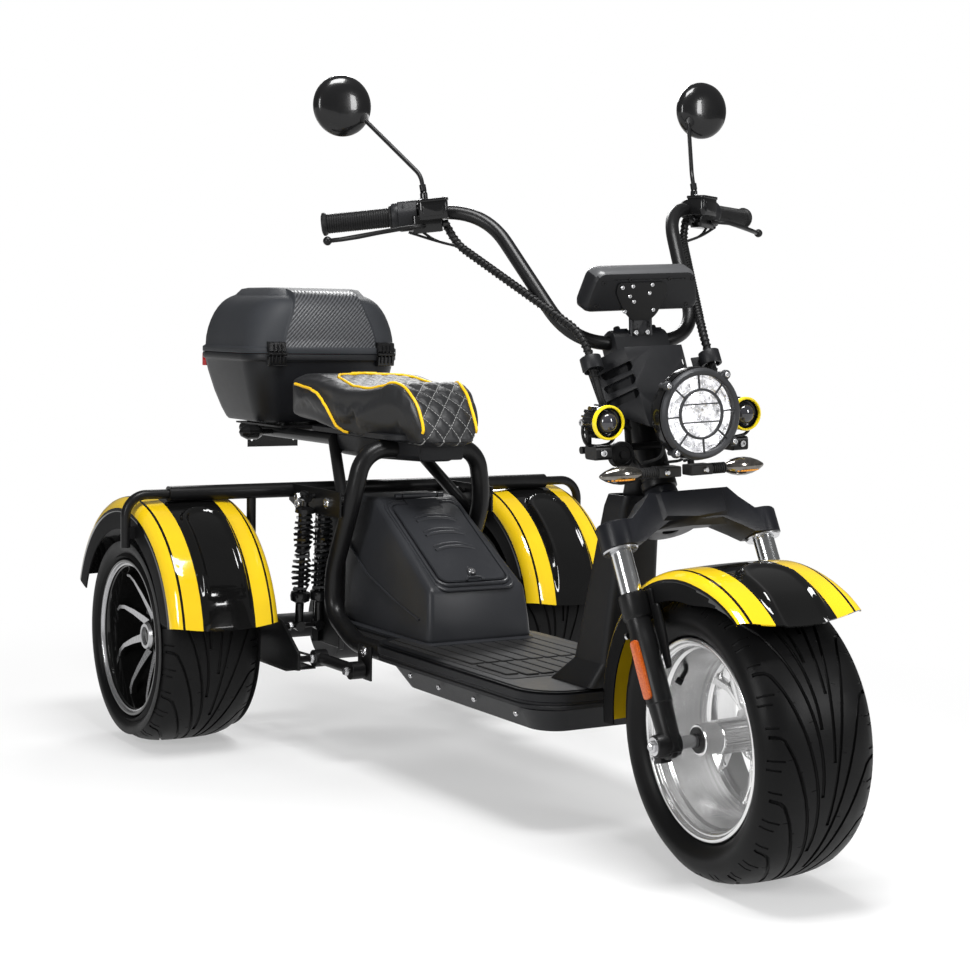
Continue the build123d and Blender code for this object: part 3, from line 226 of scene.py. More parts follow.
def speckled(name, base, rough, swing=0.1, scale=60.0, grain=None, depth=0.0002, **more):
    """A finish whose roughness drifts with a soft noise, with an optional fine grain."""
    more.setdefault("Specular_IOR_Level", 0.22)
    finish = Finish(name, Roughness=rough, **more)
    drift = finish.noise(scale, 4.0)
    finish.set("Roughness", drift * swing + (rough - swing / 2))
    light = tuple(min(1.0, c * 1.25 + 0.004) for c in base)
    dark = tuple(c * 0.8 for c in base)
    finish.set("Base Color", finish.mix(finish.noise(scale / 8, 3.0), dark, light))
    if grain:
        finish.bump(finish.noise(grain, 2.0), 0.5, depth)
    return finish


# %% [markdown]
# The finishes. Black paint, black moulded plastic and black rubber look alike in a list
# but not in light: paint is smooth with a clear coat, plastic has a leathery grain, and
# rubber is dull and a little grey. Bright parts are polished aluminium and chrome.

# %% Finishes
BLACK = (0.004, 0.004, 0.0043)
FINISHES = {
    "frame_black": speckled("powder black", BLACK, 0.34, 0.1, 90, 900, 0.00012),
    "motor_black": speckled("cast black", (0.01, 0.01, 0.011), 0.5, 0.15, 60, 350, 0.0006),
    "spring_black": speckled("spring black", BLACK, 0.25, 0.1, 120, Coat_Weight=0.3),
    "moulded_plastic": speckled("moulded plastic", (0.0065, 0.0068, 0.008), 0.44, 0.08, 70,
                                1500, 0.0002),
    "mat_rubber": speckled("black rubber", (0.017, 0.017, 0.0175), 0.58, 0.12, 70, 700,
                           0.0003),
    "battery_case": speckled("battery case", (0.03, 0.03, 0.032), 0.6, 0.1, 60),
    "box_plastic": speckled("box plastic", (0.0075, 0.008, 0.0095), 0.4, 0.08, 60, 1200,
                            0.00025),
    "lamp_black": speckled("lamp black", BLACK, 0.2, 0.06, 80, Coat_Weight=0.3),
    "seat_leather": speckled("seat leather", (0.012, 0.012, 0.013), 0.44, 0.1, 60, 420,
                             0.0006, Sheen_Weight=0.1),
    "fender_paint": speckled("fender black", (0.003, 0.003, 0.003), 0.07, 0.03, 40,
                             Coat_Weight=0.5, Coat_Roughness=0.03),
    "crown_grey": speckled("crown grey", (0.0055, 0.006, 0.0085), 0.36, 0.08, 80, 1400,
                           0.00015),
    "fork_chrome": speckled("chrome", (0.66, 0.67, 0.68), 0.16, 0.05, 60, Metallic=1.0),
    "slider_black": speckled("slider black", BLACK, 0.36, 0.08, 80, 900, 0.0001),
    "lens_clear": Finish("clear lens", Base_Color=(1, 1, 1), Roughness=0.03,
                         Transmission_Weight=1.0, IOR=1.3),
    "tyre_rubber": speckled("tyre rubber", (0.0032, 0.0032, 0.0034), 0.42, 0.14, 30, 500,
                            0.0003, Specular_IOR_Level=0.13),
    "rim_polished": speckled("polished aluminium", (0.8, 0.8, 0.82), 0.24, 0.08, 50,
                             Metallic=0.8),
    "rim_black": speckled("rim black", (0.004, 0.004, 0.004), 0.12, 0.05, 70,
                          Coat_Weight=0.4),
    "disc_steel": speckled("disc steel", (0.42, 0.42, 0.43), 0.3, 0.1, 200, Metallic=1.0),
}
for node, obj in frame["nodes"].items():
    obj.data.materials.clear()
    obj.data.materials.append(FINISHES[SLOT_OF[node]].material)
print(len(FINISHES), "finishes on", len(frame["nodes"]), "nodes")

# %% [markdown]
# The studio is a pale floor, a surround that is bright only for the camera and through
# glass, and four large soft lamps. A big lamp overhead draws the broad highlights
# on the fenders; the lamps at the sides draw the edges of the black tubes.

# %% Studio
world = bpy.data.worlds.new("studio")
bpy.context.scene.world = world
world.use_nodes = True
sky, wires = world.node_tree.nodes, world.node_tree.links
SKY_FILL, SKY_GLOSS = 0.26, -0.1
ray, seen, glossy, level = (sky.new(f"ShaderNode{kind}") for kind in ("LightPath", "Math",
    "Math", "Mix"))
seen.operation, glossy.operation = "MAXIMUM", "MULTIPLY_ADD"
glossy.inputs[1].default_value, glossy.inputs[2].default_value = SKY_GLOSS, SKY_FILL
level.inputs[3].default_value = 1.0
for output, socket in (
        (ray.outputs["Is Camera Ray"], seen.inputs[0]),
        (ray.outputs["Is Transmission Ray"], seen.inputs[1]),
        (ray.outputs["Is Glossy Ray"], glossy.inputs[0]),
        (seen.outputs[0], level.inputs[0]), (glossy.outputs[0], level.inputs[2]),
        (level.outputs[0], sky["Background"].inputs["Strength"])):
    wires.new(output, socket)
sky["Background"].inputs["Color"].default_value = (1, 1, 1, 1)

bpy.ops.object.select_all(action="DESELECT")
FLOOR_SIZE, FLOOR_Z = 40.0, -0.0012
bpy.ops.mesh.primitive_plane_add(size=FLOOR_SIZE, location=(0, 0, FLOOR_Z))
floor = bpy.context.object
floor.name = "floor"
ground = Finish("floor", Roughness=0.9)
spot = ground.node("ShaderNodeMapping", {"vector_type": "POINT"},
    {"Vector": ground.place(), "Location": (-0.05, 0.0, 0.0), "Scale": (0.62, 0.8, 1.0)})
away = ground.node("ShaderNodeVectorMath", {"operation": "LENGTH"}, {0: spot}, out=1)
glow = ground.between(away, 0.45, 1.5, 0.42, 1.0, interpolation_type="SMOOTHSTEP")
ground.set("Base Color", ground.mix(glow, (0.85, 0.85, 0.85), (0.0, 0.0, 0.0)))
ground.set("Emission Color", ground.mix(glow, (0.0, 0.0, 0.0), (1.0, 1.0, 1.0)))
ground.set("Emission Strength", 1.0)
ground.set("Specular IOR Level", 0.0)
floor.data.materials.append(ground.material)


def soft_lamp(name, place, aim, width, height, watts):
    """A rectangular lamp that faces a point."""
    data = bpy.data.lights.new(name, "AREA")
    data.shape = "RECTANGLE"
    data.size, data.size_y, data.energy = width, height, watts
    lamp = bpy.data.objects.new(name, data)
    bpy.context.collection.objects.link(lamp)
    lamp.location = place
    lamp.rotation_euler = (Vector(aim) - Vector(place)).to_track_quat("-Z", "Y").to_euler()
    return lamp


soft_lamp("overhead", (0.9, -0.3, 3.0), (0, 0, 0.4), 1.1, 0.8, 85)
soft_lamp("right_side", (1.6, -3.2, 1.7), (0, 0, 0.5), 0.55, 1.3, 52)
soft_lamp("front_left", (3.6, 1.3, 1.9), (0.3, 0, 0.6), 0.5, 1.1, 46)
soft_lamp("behind", (-2.6, 1.2, 2.4), (0, 0, 0.6), 1.2, 0.8, 42)

bpy.context.scene.view_settings.view_transform = "Standard"

# %% [markdown]
# Every new piece starts as a drawn line or outline. One vertex is extruded from point
# to point, as a pen would go, and the line is then spun, extruded or filled. Working
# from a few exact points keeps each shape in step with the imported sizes.

# %% Drawing helpers
DOUBLES = 0.00002


def start_alone():
    """Leaves edit mode and deselects everything, since operators act on what is selected."""
    if bpy.context.mode != "OBJECT":
        close()
    bpy.ops.object.select_all(action="DESELECT")


def pick(piece):
    """Selects one piece and makes it the active one."""
    start_alone()
    piece.select_set(True)
    bpy.context.view_layer.objects.active = piece


def edit(piece):
    """Opens one piece in edit mode with everything in it selected."""
    pick(piece)
    bpy.ops.object.mode_set(mode="EDIT")
    bpy.ops.mesh.select_all(action="SELECT")


def close():
    """Goes back to object mode."""
    bpy.ops.object.mode_set(mode="OBJECT")


def moved(piece, *matrices):
    """Moves the mesh of a piece by a matrix, or by several, the last one first."""
    for matrix in reversed(matrices):
        piece.data.transform(matrix)
    return piece


def line(name, points):
    """A chain of edges, made by extruding one vertex from point to point."""
    start_alone()
    bpy.ops.mesh.primitive_plane_add(size=0.001, location=(0, 0, 0))
    piece = bpy.context.object
    piece.name = name
    bpy.ops.object.mode_set(mode="EDIT")
    bpy.ops.mesh.select_all(action="SELECT")
    bpy.ops.mesh.merge(type="CENTER")
    bpy.ops.transform.translate(value=points[0])
    for here, there in zip(points, points[1:]):
        step = Vector(there) - Vector(here)
        bpy.ops.mesh.extrude_region_move(TRANSFORM_OT_translate={"value": step})
    bpy.ops.mesh.select_all(action="SELECT")
    return piece


def tidy_mesh():
    """Merges doubles and turns all faces outwards, in edit mode."""
    bpy.ops.mesh.select_all(action="SELECT")
    bpy.ops.mesh.remove_doubles(threshold=DOUBLES)
    bpy.ops.mesh.normals_make_consistent(inside=False)
    close()


def turned(name, profile, axis="Y", steps=64, sweep=2 * pi):
    """Spins an outline of (radius, place along the axis) round the X, Y or Z axis."""
    across, along = {"X": (2, 0), "Y": (0, 1), "Z": (0, 2)}[axis]
    way = [float(k == along) for k in range(3)]
    points = []
    for radius, place in profile:
        point = [0.0, 0.0, 0.0]
        point[across], point[along] = radius, place
        points.append(point)
    piece = line(name, points)
    bpy.ops.mesh.spin(steps=steps, angle=sweep, center=(0, 0, 0), axis=way)
    tidy_mesh()
    return piece


def disc(name, radius, start, stop, axis="Y", steps=24):
    """A solid cylinder about an axis."""
    return turned(name, [(0.0, start), (radius, start), (radius, stop), (0.0, stop)], axis,
        steps)


def plate(name, outline, depth):
    """Fills a closed outline of 3-D points and extrudes it by a vector."""
    piece = line(name, outline)
    bpy.ops.mesh.edge_face_add()
    bpy.ops.mesh.extrude_region_move(TRANSFORM_OT_translate={"value": depth})
    tidy_mesh()
    return piece


def easing(first, corner, last, steps):
    """Points of a curve that leaves one point, heads for a corner and ends at another."""
    return [first * (1 - t) ** 2 + corner * 2 * t * (1 - t) + last * t ** 2
        for t in [step / steps for step in range(steps + 1)]]


def round_outline(points, radius):
    """A closed flat outline with its corners rounded by short chains of points."""
    result = []
    for k, here in enumerate(points):
        here = Vector(here)
        before, after = Vector(points[k - 1]), Vector(points[(k + 1) % len(points)])
        cut = min(radius, (before - here).length * 0.49, (after - here).length * 0.49)
        result += easing(here + (before - here).normalized() * cut, here,
            here + (after - here).normalized() * cut, 4)
    return result


def slab(name, axis, level, thick, pairs, corner=0.0):
    """A plate across an axis, from pairs of the other two coordinates."""
    def lifted(pair, value):
        point = list(pair)
        point.insert("XYZ".index(axis), value)
        return point

    outline = [lifted(pair, level) for pair in pairs]
    return plate(name, round_outline(outline, corner) if corner else outline,
        lifted((0, 0), thick))


def sheet(name, chain, depth, thick):
    """A bent sheet: an open chain of points, extruded by a vector and given thickness."""
    piece = line(name, chain)
    bpy.ops.mesh.extrude_region_move(TRANSFORM_OT_translate={"value": depth})
    tidy_mesh()
    return modify(piece, "SOLIDIFY", thickness=thick, offset=0.0)


def modify(piece, kind, **settings):
    """Adds a modifier and applies it."""
    pick(piece)
    modifier = piece.modifiers.new(kind.lower(), kind)
    for key, value in settings.items():
        setattr(modifier, key, value)
    bpy.ops.object.modifier_apply(modifier=modifier.name)
    return piece


def soften(piece, width, segments=2, angle=30):
    """Rounds every edge that is sharper than an angle."""
    return modify(piece, "BEVEL", width=width, segments=segments, limit_method="ANGLE",
        angle_limit=radians(angle))


def boolean(piece, tool, operation="DIFFERENCE"):
    """Cuts a tool out of a piece, or unites the two, and removes the tool."""
    modify(piece, "BOOLEAN", operation=operation, solver="EXACT", object=tool)
    bpy.data.objects.remove(tool)
    return piece


def tube(name, points, radius, bend=0.0, sides=3, closed=False):
    """A round tube along a chain of points, with its corners rounded first."""
    piece = line(name, points)
    if closed:
        bpy.ops.mesh.select_all(action="DESELECT")
        close()
        for end in (0, -1):
            piece.data.vertices[end].select = True
        bpy.ops.object.mode_set(mode="EDIT")
        bpy.ops.mesh.edge_face_add()
        bpy.ops.mesh.select_all(action="SELECT")
    if bend:
        bpy.ops.mesh.bevel(offset=bend, segments=6, affect="VERTICES")
    close()
    bpy.ops.object.convert(target="CURVE")
    piece = bpy.context.object
    piece.data.dimensions = "3D"
    piece.data.bevel_depth = radius
    piece.data.bevel_resolution = sides
    piece.data.use_fill_caps = True
    bpy.ops.object.convert(target="MESH")
    piece = bpy.context.object
    edit(piece)
    tidy_mesh()
    return piece


def copy_of(piece, matrix, name=None):
    """A copy with its own mesh, moved by a matrix; a mirrored copy is turned outwards."""
    pick(piece)
    bpy.ops.object.duplicate(linked=False)
    twin = bpy.context.object
    twin.name = name or piece.name
    twin.data.transform(matrix)
    if matrix.determinant() < 0:
        edit(twin)
        bpy.ops.mesh.flip_normals()
        close()
    return twin


def join(name, pieces):
    """Joins several pieces into one."""
    start_alone()
    for piece in pieces:
        piece.select_set(True)
    bpy.context.view_layer.objects.active = pieces[0]
    if len(pieces) > 1:
        bpy.ops.object.join()
    pieces[0].name = name
    return pieces[0]


def around(piece, count, axis="Y", first=0.0):
    """The piece repeated evenly round an axis, joined into one."""
    name = piece.name
    copies = [copy_of(piece, Matrix.Rotation(first + 2 * pi * k / count, 4, axis))
        for k in range(1, count)]
    if first:
        piece.data.transform(Matrix.Rotation(first, 4, axis))
    return join(name, [piece] + copies)


def paint(piece, finishes, choose):
    """Gives each face one of several finishes, chosen from its middle and its normal."""
    piece.data.materials.clear()
    for finish in finishes:
        piece.data.materials.append(finish.material)
    for face in piece.data.polygons:
        face.material_index = choose(face.center, face.normal)


MIRROR = Matrix.Scale(-1, 4, (0, 1, 0))
MADE = []


def keep(piece, body, slot, place=None, replaces=(), finish=None, smooth=32):
    """Puts a finished piece in its place, in its mesh, and lets it ride on a body."""
    pick(piece)
    if place is not None:
        piece.data.transform(place)
    piece.name = piece.name.replace(" ", "_")
    bpy.ops.object.shade_smooth_by_angle(angle=radians(smooth))
    if not piece.data.materials:
        piece.data.materials.append((finish or FINISHES[slot]).material)
    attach(piece, body)
    if replaces:
        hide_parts(*replaces)
    MADE.append(piece)
    return piece


# %% [markdown]
# The tyres are wide and round-shouldered, with a directional tread: on each side, long
# thin grooves start across the shoulder, bend, and then sweep almost along the tyre
# towards its middle, so that they meet like a row of arrows. The casing is a spun
# outline. One groove is drawn as a thin tube that lies along the surface, copied round
# the tyre, and cut out with a Boolean modifier. Short cuts cross the shoulder too.

# %% Tyres
def tyre_outline(radius, half, bead):
    """Outline of the casing as (radius, place across), from one bead to the other."""
    side = [(0.1525, bead - 0.016), (0.164, bead - 0.012), (0.1685, bead - 0.003),
        (0.172, bead + 0.004), (0.178, half - 0.009), (0.186, half - 0.003), (0.195, half),
        (0.204, half - 0.0012), (radius - 0.025, half - 0.006), (radius - 0.015, half - 0.0145),
        (radius - 0.0082, half - 0.027), (radius - 0.004, half - 0.042),
        (radius - 0.0012, half - 0.062), (radius - 0.0003, half - 0.085)]
    return [(r, -y) for r, y in side] + [(radius, 0.0)] + [(r, y) for r, y in reversed(side)]


def surface_at(outline, y):
    """The radius of the tread at a place across it."""
    tread = [(r, p) for r, p in outline if r > 0.195]
    for (r0, y0), (r1, y1) in zip(tread, tread[1:]):
        if y0 <= y <= y1:
            return r0 + (r1 - r0) * (y - y0) / (y1 - y0)
    return tread[0][0]


def groove(name, outline, course, thick, sink):
    """A thin tube over the tread, through points of (degrees round, place across)."""
    points = []
    for turn, y in course:
        r = surface_at(outline, y) - sink
        points.append((r * cos(radians(turn)), y, -r * sin(radians(turn))))
    return tube(name, points, thick, sides=1)


def tyre(name, radius, half, bead, pitches):
    """The casing, with its grooves and cuts repeated at every pitch."""
    outline = tyre_outline(radius, half, bead)
    casing = turned(name, outline + [outline[0]], steps=144)
    reach = 360.0 / pitches * 2.9
    edge, bend, middle = half - 0.011, half - 0.034, 0.0095
    sweep = [(0.0, edge), (0.35, edge - 0.008), (0.9, bend + 0.008), (2.4, bend + 0.0015)]
    for k in range(1, 13):
        share = k / 12
        y = bend - (bend - middle) * (1.0 - (1.0 - share) ** 1.9)
        sweep.append((2.4 + reach * share, y))
    cuts = [groove("long groove", outline, sweep, 0.0036, 0.0014)]
    pitch = 360.0 / pitches
    for turn, start, stop in ((0.36, 0.007, 0.03), (0.5, 0.006, 0.024), (0.86, 0.009, 0.026)):
        course = [(pitch * turn + 0.6 * k / 4, half - start - (stop - start) * k / 4)
            for k in range(5)]
        cuts.append(groove("short cut", outline, course, 0.002, 0.0006))
    fine = [groove("fine cut", outline, [(pitch * turn, y), (pitch * turn + 0.5, y + 0.009)],
        0.0009, 0.0) for turn, y in ((0.15, 0.03), (0.55, 0.048), (0.85, 0.022), (0.35, 0.062))]
    for group in (cuts, fine):
        one_side = around(join("cuts", group), pitches)
        other = copy_of(one_side, Matrix.Rotation(radians(pitch / 2), 4, "Y") @ MIRROR)
        cutter = join("cutter", [one_side, other])
        boolean(casing, cutter)
    print(name, len(casing.data.polygons), "faces")
    return casing


front_tyre = tyre("front tyre", 0.238, 0.105, 0.088, 14)
keep(front_tyre, "front_wheel", "tyre_rubber", FRONT_WHEEL, ["front_tyre"])

# %% Rear tyres
rear_tyre = tyre("rear tyre left", 0.223, 0.111, 0.105, 13)
right_tyre = copy_of(rear_tyre, MIRROR, "rear tyre right")
keep(rear_tyre, "rear_wheel_left", "tyre_rubber", rear_wheel(1), ["rear_tyre_left"])
keep(right_tyre, "rear_wheel_right", "tyre_rubber", rear_wheel(-1), ["rear_tyre_right"])

# %% [markdown]
# The front wheel is polished aluminium. Its barrel is a deep stepped dish, and five
# forked spokes sit far inside it, reached by a long ribbed hub. Polishing on a lathe
# leaves fine rings about the axle, so the finish takes its grain from the distance to
# the axle line and the depth along it, which four vector nodes work out.

# %% Front wheel
def lathe_marks(finish, centre, axis, rough, swing):
    """Rings about an axle: the grain varies with the distance from its line."""
    offset = finish.node("ShaderNodeVectorMath", {"operation": "SUBTRACT"},
        {0: finish.place(), 1: tuple(centre)})
    across = finish.node("ShaderNodeVectorMath", {"operation": "CROSS_PRODUCT"},
        {0: offset, 1: tuple(axis)})
    radius = finish.node("ShaderNodeVectorMath", {"operation": "LENGTH"}, {0: across}, out=1)
    depth = finish.node("ShaderNodeVectorMath", {"operation": "DOT_PRODUCT"},
        {0: offset, 1: tuple(axis)}, out=1)
    rings = finish.node("ShaderNodeTexNoise", {"noise_dimensions": "1D"},
        {"W": (radius + depth * 0.7) * 900.0, "Scale": 1.0, "Detail": 3.0})
    finish.set("Roughness", rings * swing + (rough - swing / 2))
    finish.bump(rings, 0.25, 0.0003)
    return rings


def polished(name, centre, axis, colour=(0.92, 0.92, 0.92), rough=0.24):
    """Bright metal with lathe marks about an axle."""
    finish = Finish(name, Metallic=0.86)
    rings = lathe_marks(finish, centre, axis, rough, 0.1)
    dark = tuple(0.66 * c for c in colour)
    finish.set("Base Color", finish.mix(rings, dark, colour))
    return finish


front_way = JOINTS["front_wheel_spin"]["axis"]
front_metal = polished("front wheel aluminium", FRONT_AXLE, front_way)
barrel = turned("front wheel", [(0.1655, -0.087), (0.1645, -0.0885), (0.16, -0.0888),
    (0.158, -0.0875), (0.1565, -0.082), (0.1515, -0.08), (0.15, -0.078), (0.1498, -0.064),
    (0.147, -0.062), (0.1445, -0.06), (0.143, -0.038), (0.137, -0.006), (0.13, 0.012),
    (0.124, 0.016), (0.124, 0.03), (0.138, 0.036), (0.145, 0.06), (0.153, 0.08),
    (0.158, 0.0875), (0.1645, 0.0885), (0.1655, 0.087), (0.1655, 0.0825), (0.1525, 0.0815),
    (0.1525, -0.0815), (0.1655, -0.0825), (0.1655, -0.087)], steps=128)
soften(barrel, 0.0008, 2, 35)
hub = turned("hub", [(0.011, -0.088), (0.0245, -0.088), (0.026, -0.0865), (0.026, -0.056),
    (0.025, -0.055), (0.025, -0.053), (0.026, -0.052), (0.0262, -0.002), (0.03, 0.006),
    (0.042, 0.012), (0.048, 0.015), (0.048, 0.03), (0.03, 0.034), (0.028, 0.088),
    (0.011, 0.088), (0.011, -0.088)], steps=64)
flute = slab("flute", "Y", -0.05, 0.046, [(0.0255, -0.0016), (0.0255, 0.0016), (0.0285, 0.0008),
    (0.0285, -0.0008)])
flutes = around(flute, 28)
leg = plate("spoke", [(0.04 * cos(0.1), 0.012, 0.04 * sin(0.1) - 0.004), (0.086, 0.01, 0.015),
    (0.127 * cos(0.37), 0.008, 0.127 * sin(0.37) - 0.003),
    (0.127 * cos(0.25), 0.008, 0.127 * sin(0.25) - 0.003), (0.086, 0.01, 0.002),
    (0.04, 0.012, -0.006)], (0, 0.018, 0))
brace = slab("brace", "Y", 0.014, 0.012, [(0.096, -0.016), (0.101, -0.016), (0.101, 0.016),
    (0.096, 0.016)])
fork = join("spoke", [leg, copy_of(leg, Matrix.Scale(-1, 4, (0, 0, 1))), brace])
soften(fork, 0.0022, 2)
spokes = around(fork, 5, first=radians(14))
ear = turned("ear", [(0.0035, 0.0095), (0.0065, 0.0095), (0.0065, 0.0125), (0.0035, 0.0125),
    (0.0035, 0.0095)], steps=16)
ears = around(moved(ear, at(0.113, 0.004, 0)), 10, first=radians(32))
front_rim = join("front wheel", [barrel, hub, flutes, spokes, ears])
keep(front_rim, "front_wheel", "rim_polished", FRONT_WHEEL, ["front_wheel_rim"],
    finish=front_metal)
seal = turned("hub seal", [(0.0115, -0.0882), (0.021, -0.0882), (0.0215, -0.09),
    (0.0115, -0.0905), (0.0115, -0.0882)], steps=40)
valve = tube("valve", [(0.144, -0.046, 0), (0.133, -0.05, 0), (0.118, -0.066, 0)], 0.0042,
    bend=0.004)
valve_cap = moved(turned("valve cap", [(0.0, 0.0), (0.0058, 0.0), (0.006, 0.01), (0.005, 0.012),
    (0.0, 0.012)], axis="X", steps=14), at(0.113, -0.07, 0) @ about("Z", -45) @
    at(-0.004, 0, 0))
valve = join("valve", [valve, valve_cap])
valve.data.transform(about("Y", -135))
seal = join("front seal and valve", [seal, valve])
keep(seal, "front_wheel", "mat_rubber", FRONT_WHEEL, finish=FINISHES["slider_black"])

# %% [markdown]
# The rear wheels are gloss black dishes with nine curved blades. The face of each
# blade is machined bright, and its tip hooks round along the barrel. One blade is drawn
# as an outline whose points rise towards the rim, and copied round. Its faces take the
# bright finish where they look outwards. A ring on the hub cap is bright too, and a thin
# ring on the outer lip takes the bright finish as a painted reflection.

# %% Rear wheels
def rear_rim():
    """Builds the left wheel: a black dish, bright blades and a hub cap."""
    dish = turned("rear wheel", [(0.1655, 0.1035), (0.164, 0.105), (0.159, 0.105),
        (0.1575, 0.103), (0.156, 0.096), (0.15, 0.094), (0.148, 0.07), (0.145, 0.03),
        (0.138, 0.01), (0.13, 0.004), (0.06, 0.0), (0.04, 0.0), (0.04, -0.02), (0.13, -0.016),
        (0.144, -0.03), (0.148, -0.09), (0.159, -0.1045), (0.1655, -0.104), (0.1655, -0.0995),
        (0.1525, -0.0985), (0.1525, 0.0985), (0.1655, 0.0995), (0.1655, 0.1035)], steps=112)
    soften(dish, 0.0008, 2, 35)

    def rise(x):
        return 0.04 + 0.3 * max(0.0, x - 0.03)

    shape = [(0.03, -0.011), (0.06, -0.007), (0.095, 0.001), (0.125, 0.012), (0.14, 0.023),
        (0.145, 0.039), (0.14, 0.041), (0.1345, 0.03), (0.122, 0.0215), (0.092, 0.015),
        (0.06, 0.0115), (0.03, 0.011)]
    blade = plate("blade", [(x, rise(x), z) for x, z in shape], (0, -0.013, 0))
    soften(blade, 0.0007, 1)
    blades = around(blade, 9, first=radians(10))
    cap = turned("hub cap", [(0.0, 0.064), (0.012, 0.063), (0.018, 0.06), (0.019, 0.06),
        (0.02, 0.066), (0.0265, 0.066), (0.03, 0.06), (0.036, 0.048), (0.036, 0.03),
        (0.04, 0.02), (0.04, 0.0)], steps=56)
    return dish, blades, cap


rear_metal = polished("machined face", (REAR_AXLE_X, 0, REAR_R), (0, 1, 0), (0.55, 0.55, 0.56),
    0.28)
dish, blades, cap = rear_rim()
black, bright = FINISHES["rim_black"], rear_metal
# A thin ring on the inside of the outer lip gets the bright finish as a painted reflection; the blade faces and a
# ring of the hub cap are bright metal.
paint(dish, [black, bright], lambda place, way: int(0.156 < hypot(place.x, place.z) < 0.1592 and
    place.y > 0.09))
paint(blades, [black, bright], lambda place, way: int(way.y > 0.75))
paint(cap, [black, bright], lambda place, way: int(0.019 < hypot(place.x, place.z) < 0.031))
rear_rims = join("rear wheel left", [dish, blades, cap])
right_rims = copy_of(rear_rims, MIRROR, "rear wheel right")
keep(rear_rims, "rear_wheel_left", "rim_black", rear_wheel(1), ["rear_wheel_rim_left"])
keep(right_rims, "rear_wheel_right", "rim_black", rear_wheel(-1), ["rear_wheel_rim_right"])

# %% [markdown]
# The fenders are moulded sheets, gloss black with two yellow stripes near each edge: a
# wide one, a thin black line and a narrow one. The cross-section has a point at each
# border of a stripe, so that after the spin every face is wholly one colour. A raised
# horseshoe on the crown is pushed up point by point, as with a sculpting brush, and a
# Solidify modifier gives the sheet its thickness.

# %% Fenders
YELLOW = speckled("stripe yellow", (0.86, 0.55, 0.01), 0.09, 0.03, 40, Coat_Weight=0.6,
    Coat_Roughness=0.03, Specular_IOR_Level=0.5)
STRIPE_BORDERS = (0.057, 0.0935, 0.0985)


def smooth_step(value, low, high):
    """A rise from 0 to 1 with soft ends, as the value goes from low to high."""
    share = min(1.0, max(0.0, (value - low) / (high - low)))
    return share * share * (3 - 2 * share)


WALL_BLACK = speckled("wall black", BLACK, 0.55, 0.08, 60, Specular_IOR_Level=0.05)


def mudguard(name, radius, drop, half, wall, start, stop, badge, rise, lead, taper=4.0):
    """A spun sheet with stripes, side walls and a raised horseshoe."""
    edge = radius - drop
    shoulder = 0.032
    knots = [(0.0, 0.0), (1 - shoulder / half, 0.1), (1 - 0.35 * shoulder / half, 0.38),
        (1.0, 1.0)]

    def fall(share):
        """How far the surface has dropped at a share of the half width."""
        if share < knots[1][0]:
            return drop * knots[1][1] * (share / knots[1][0]) ** 2
        reach = (share - knots[1][0]) / (1 - knots[1][0])
        return drop * (knots[1][1] + (1 - knots[1][1]) * (1 - sqrt(max(0.0, 1 - reach ** 2.2))))

    places = sorted({0.0, 0.006, 0.012, 0.018, 0.023, 0.027, 0.03, 0.033, 0.036, 0.039, 0.042,
        0.045, 0.048, 0.051, 0.054, *STRIPE_BORDERS, 0.07, 0.08, 0.104, half - 0.007,
        half - 0.003, half - 0.001, half})
    one = [(radius - fall(y / half), y) for y in places]
    skirt = [(edge - wall * share, half + 0.0005 * sin(pi * share))
        for share in (0.12, 0.5, 0.88, 1.0)]
    section = [(r, -y) for r, y in reversed(one + skirt)] + (one + skirt)[1:]
    sheet = moved(turned(name, section, steps=170, sweep=radians(stop - start)),
        about("Y", -start))
    for vertex in sheet.data.vertices:
        x, y, z = vertex.co
        turn = degrees(atan2(z, x)) % 360
        low, high = badge
        half_w = 0.049
        along = (turn - low) / (high - low)
        arch = 1.0 - degrees(half_w / radius) / (high - low)
        rounded = hypot(max(0.0, along - arch) / (1 - arch), y / half_w)
        fade = smooth_step(turn, max(start + 1.0, low - 12.0), max(start + 13.0, low + 12.0))
        ridge = smooth_step(rounded, 1.1, 0.92) * fade
        hollow = smooth_step(rounded, 0.86, 0.7) * smooth_step(along, -0.1, 0.4)
        r = hypot(x, z)
        push = rise * ridge - 0.45 * rise * hollow
        if r < edge - 0.0005:
            push = (edge - r) * 0.96 * (1.0 - smooth_step(turn, start, start + taper))
        near_lip = 1.0 - smooth_step(turn, start, start + 30.0)
        if taper > 10.0:
            push += 0.5 * near_lip * (radius - max(r, edge))
        turn = radians(turn - lead * near_lip * (1.0 - min(1.0, abs(y) / half) ** 2))
        vertex.co.x, vertex.co.z = (r + push) * cos(turn), (r + push) * sin(turn)
    modify(sheet, "SOLIDIFY", thickness=0.0028, offset=-1.0, use_even_offset=taper < 10.0)
    wide, line_in, line_out = STRIPE_BORDERS

    def stripe(place, way):
        y = abs(place.y)
        if hypot(place.x, place.z) < edge - 0.001 and y > half - 0.004:
            return 2
        outside = way.x * place.x + way.z * place.z > 0
        behind = name == "front fender" and place.x < -0.1
        return int((wide < y < line_in or line_out < y < half - 0.0006) and (outside or behind))

    paint(sheet, [FINISHES["fender_paint"], YELLOW, WALL_BLACK], stripe)
    return sheet


front_guard = mudguard("front fender", 0.279, 0.021, 0.116, 0.03, 53, 184, (44, 83), 0.0095,
    4.5, taper=34.0)
keep(front_guard, "steering", "fender_paint", FRONT_WHEEL, ["front_fender"], smooth=40)
REAR_FENDER_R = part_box("rear_fender_left")[1][2] - REAR_R
rear_guard = mudguard("rear fender left", REAR_FENDER_R, 0.036, 0.119, 0.036, 12, 160, (26, 66),
    0.0125, 2.5)
right_guard = copy_of(rear_guard, MIRROR, "rear fender right")
keep(rear_guard, "vehicle", "fender_paint", rear_wheel(1), ["rear_fender_left"], smooth=40)
keep(right_guard, "vehicle", "fender_paint", rear_wheel(-1), ["rear_fender_right"], smooth=40)
print("rear fender radius", REAR_FENDER_R)

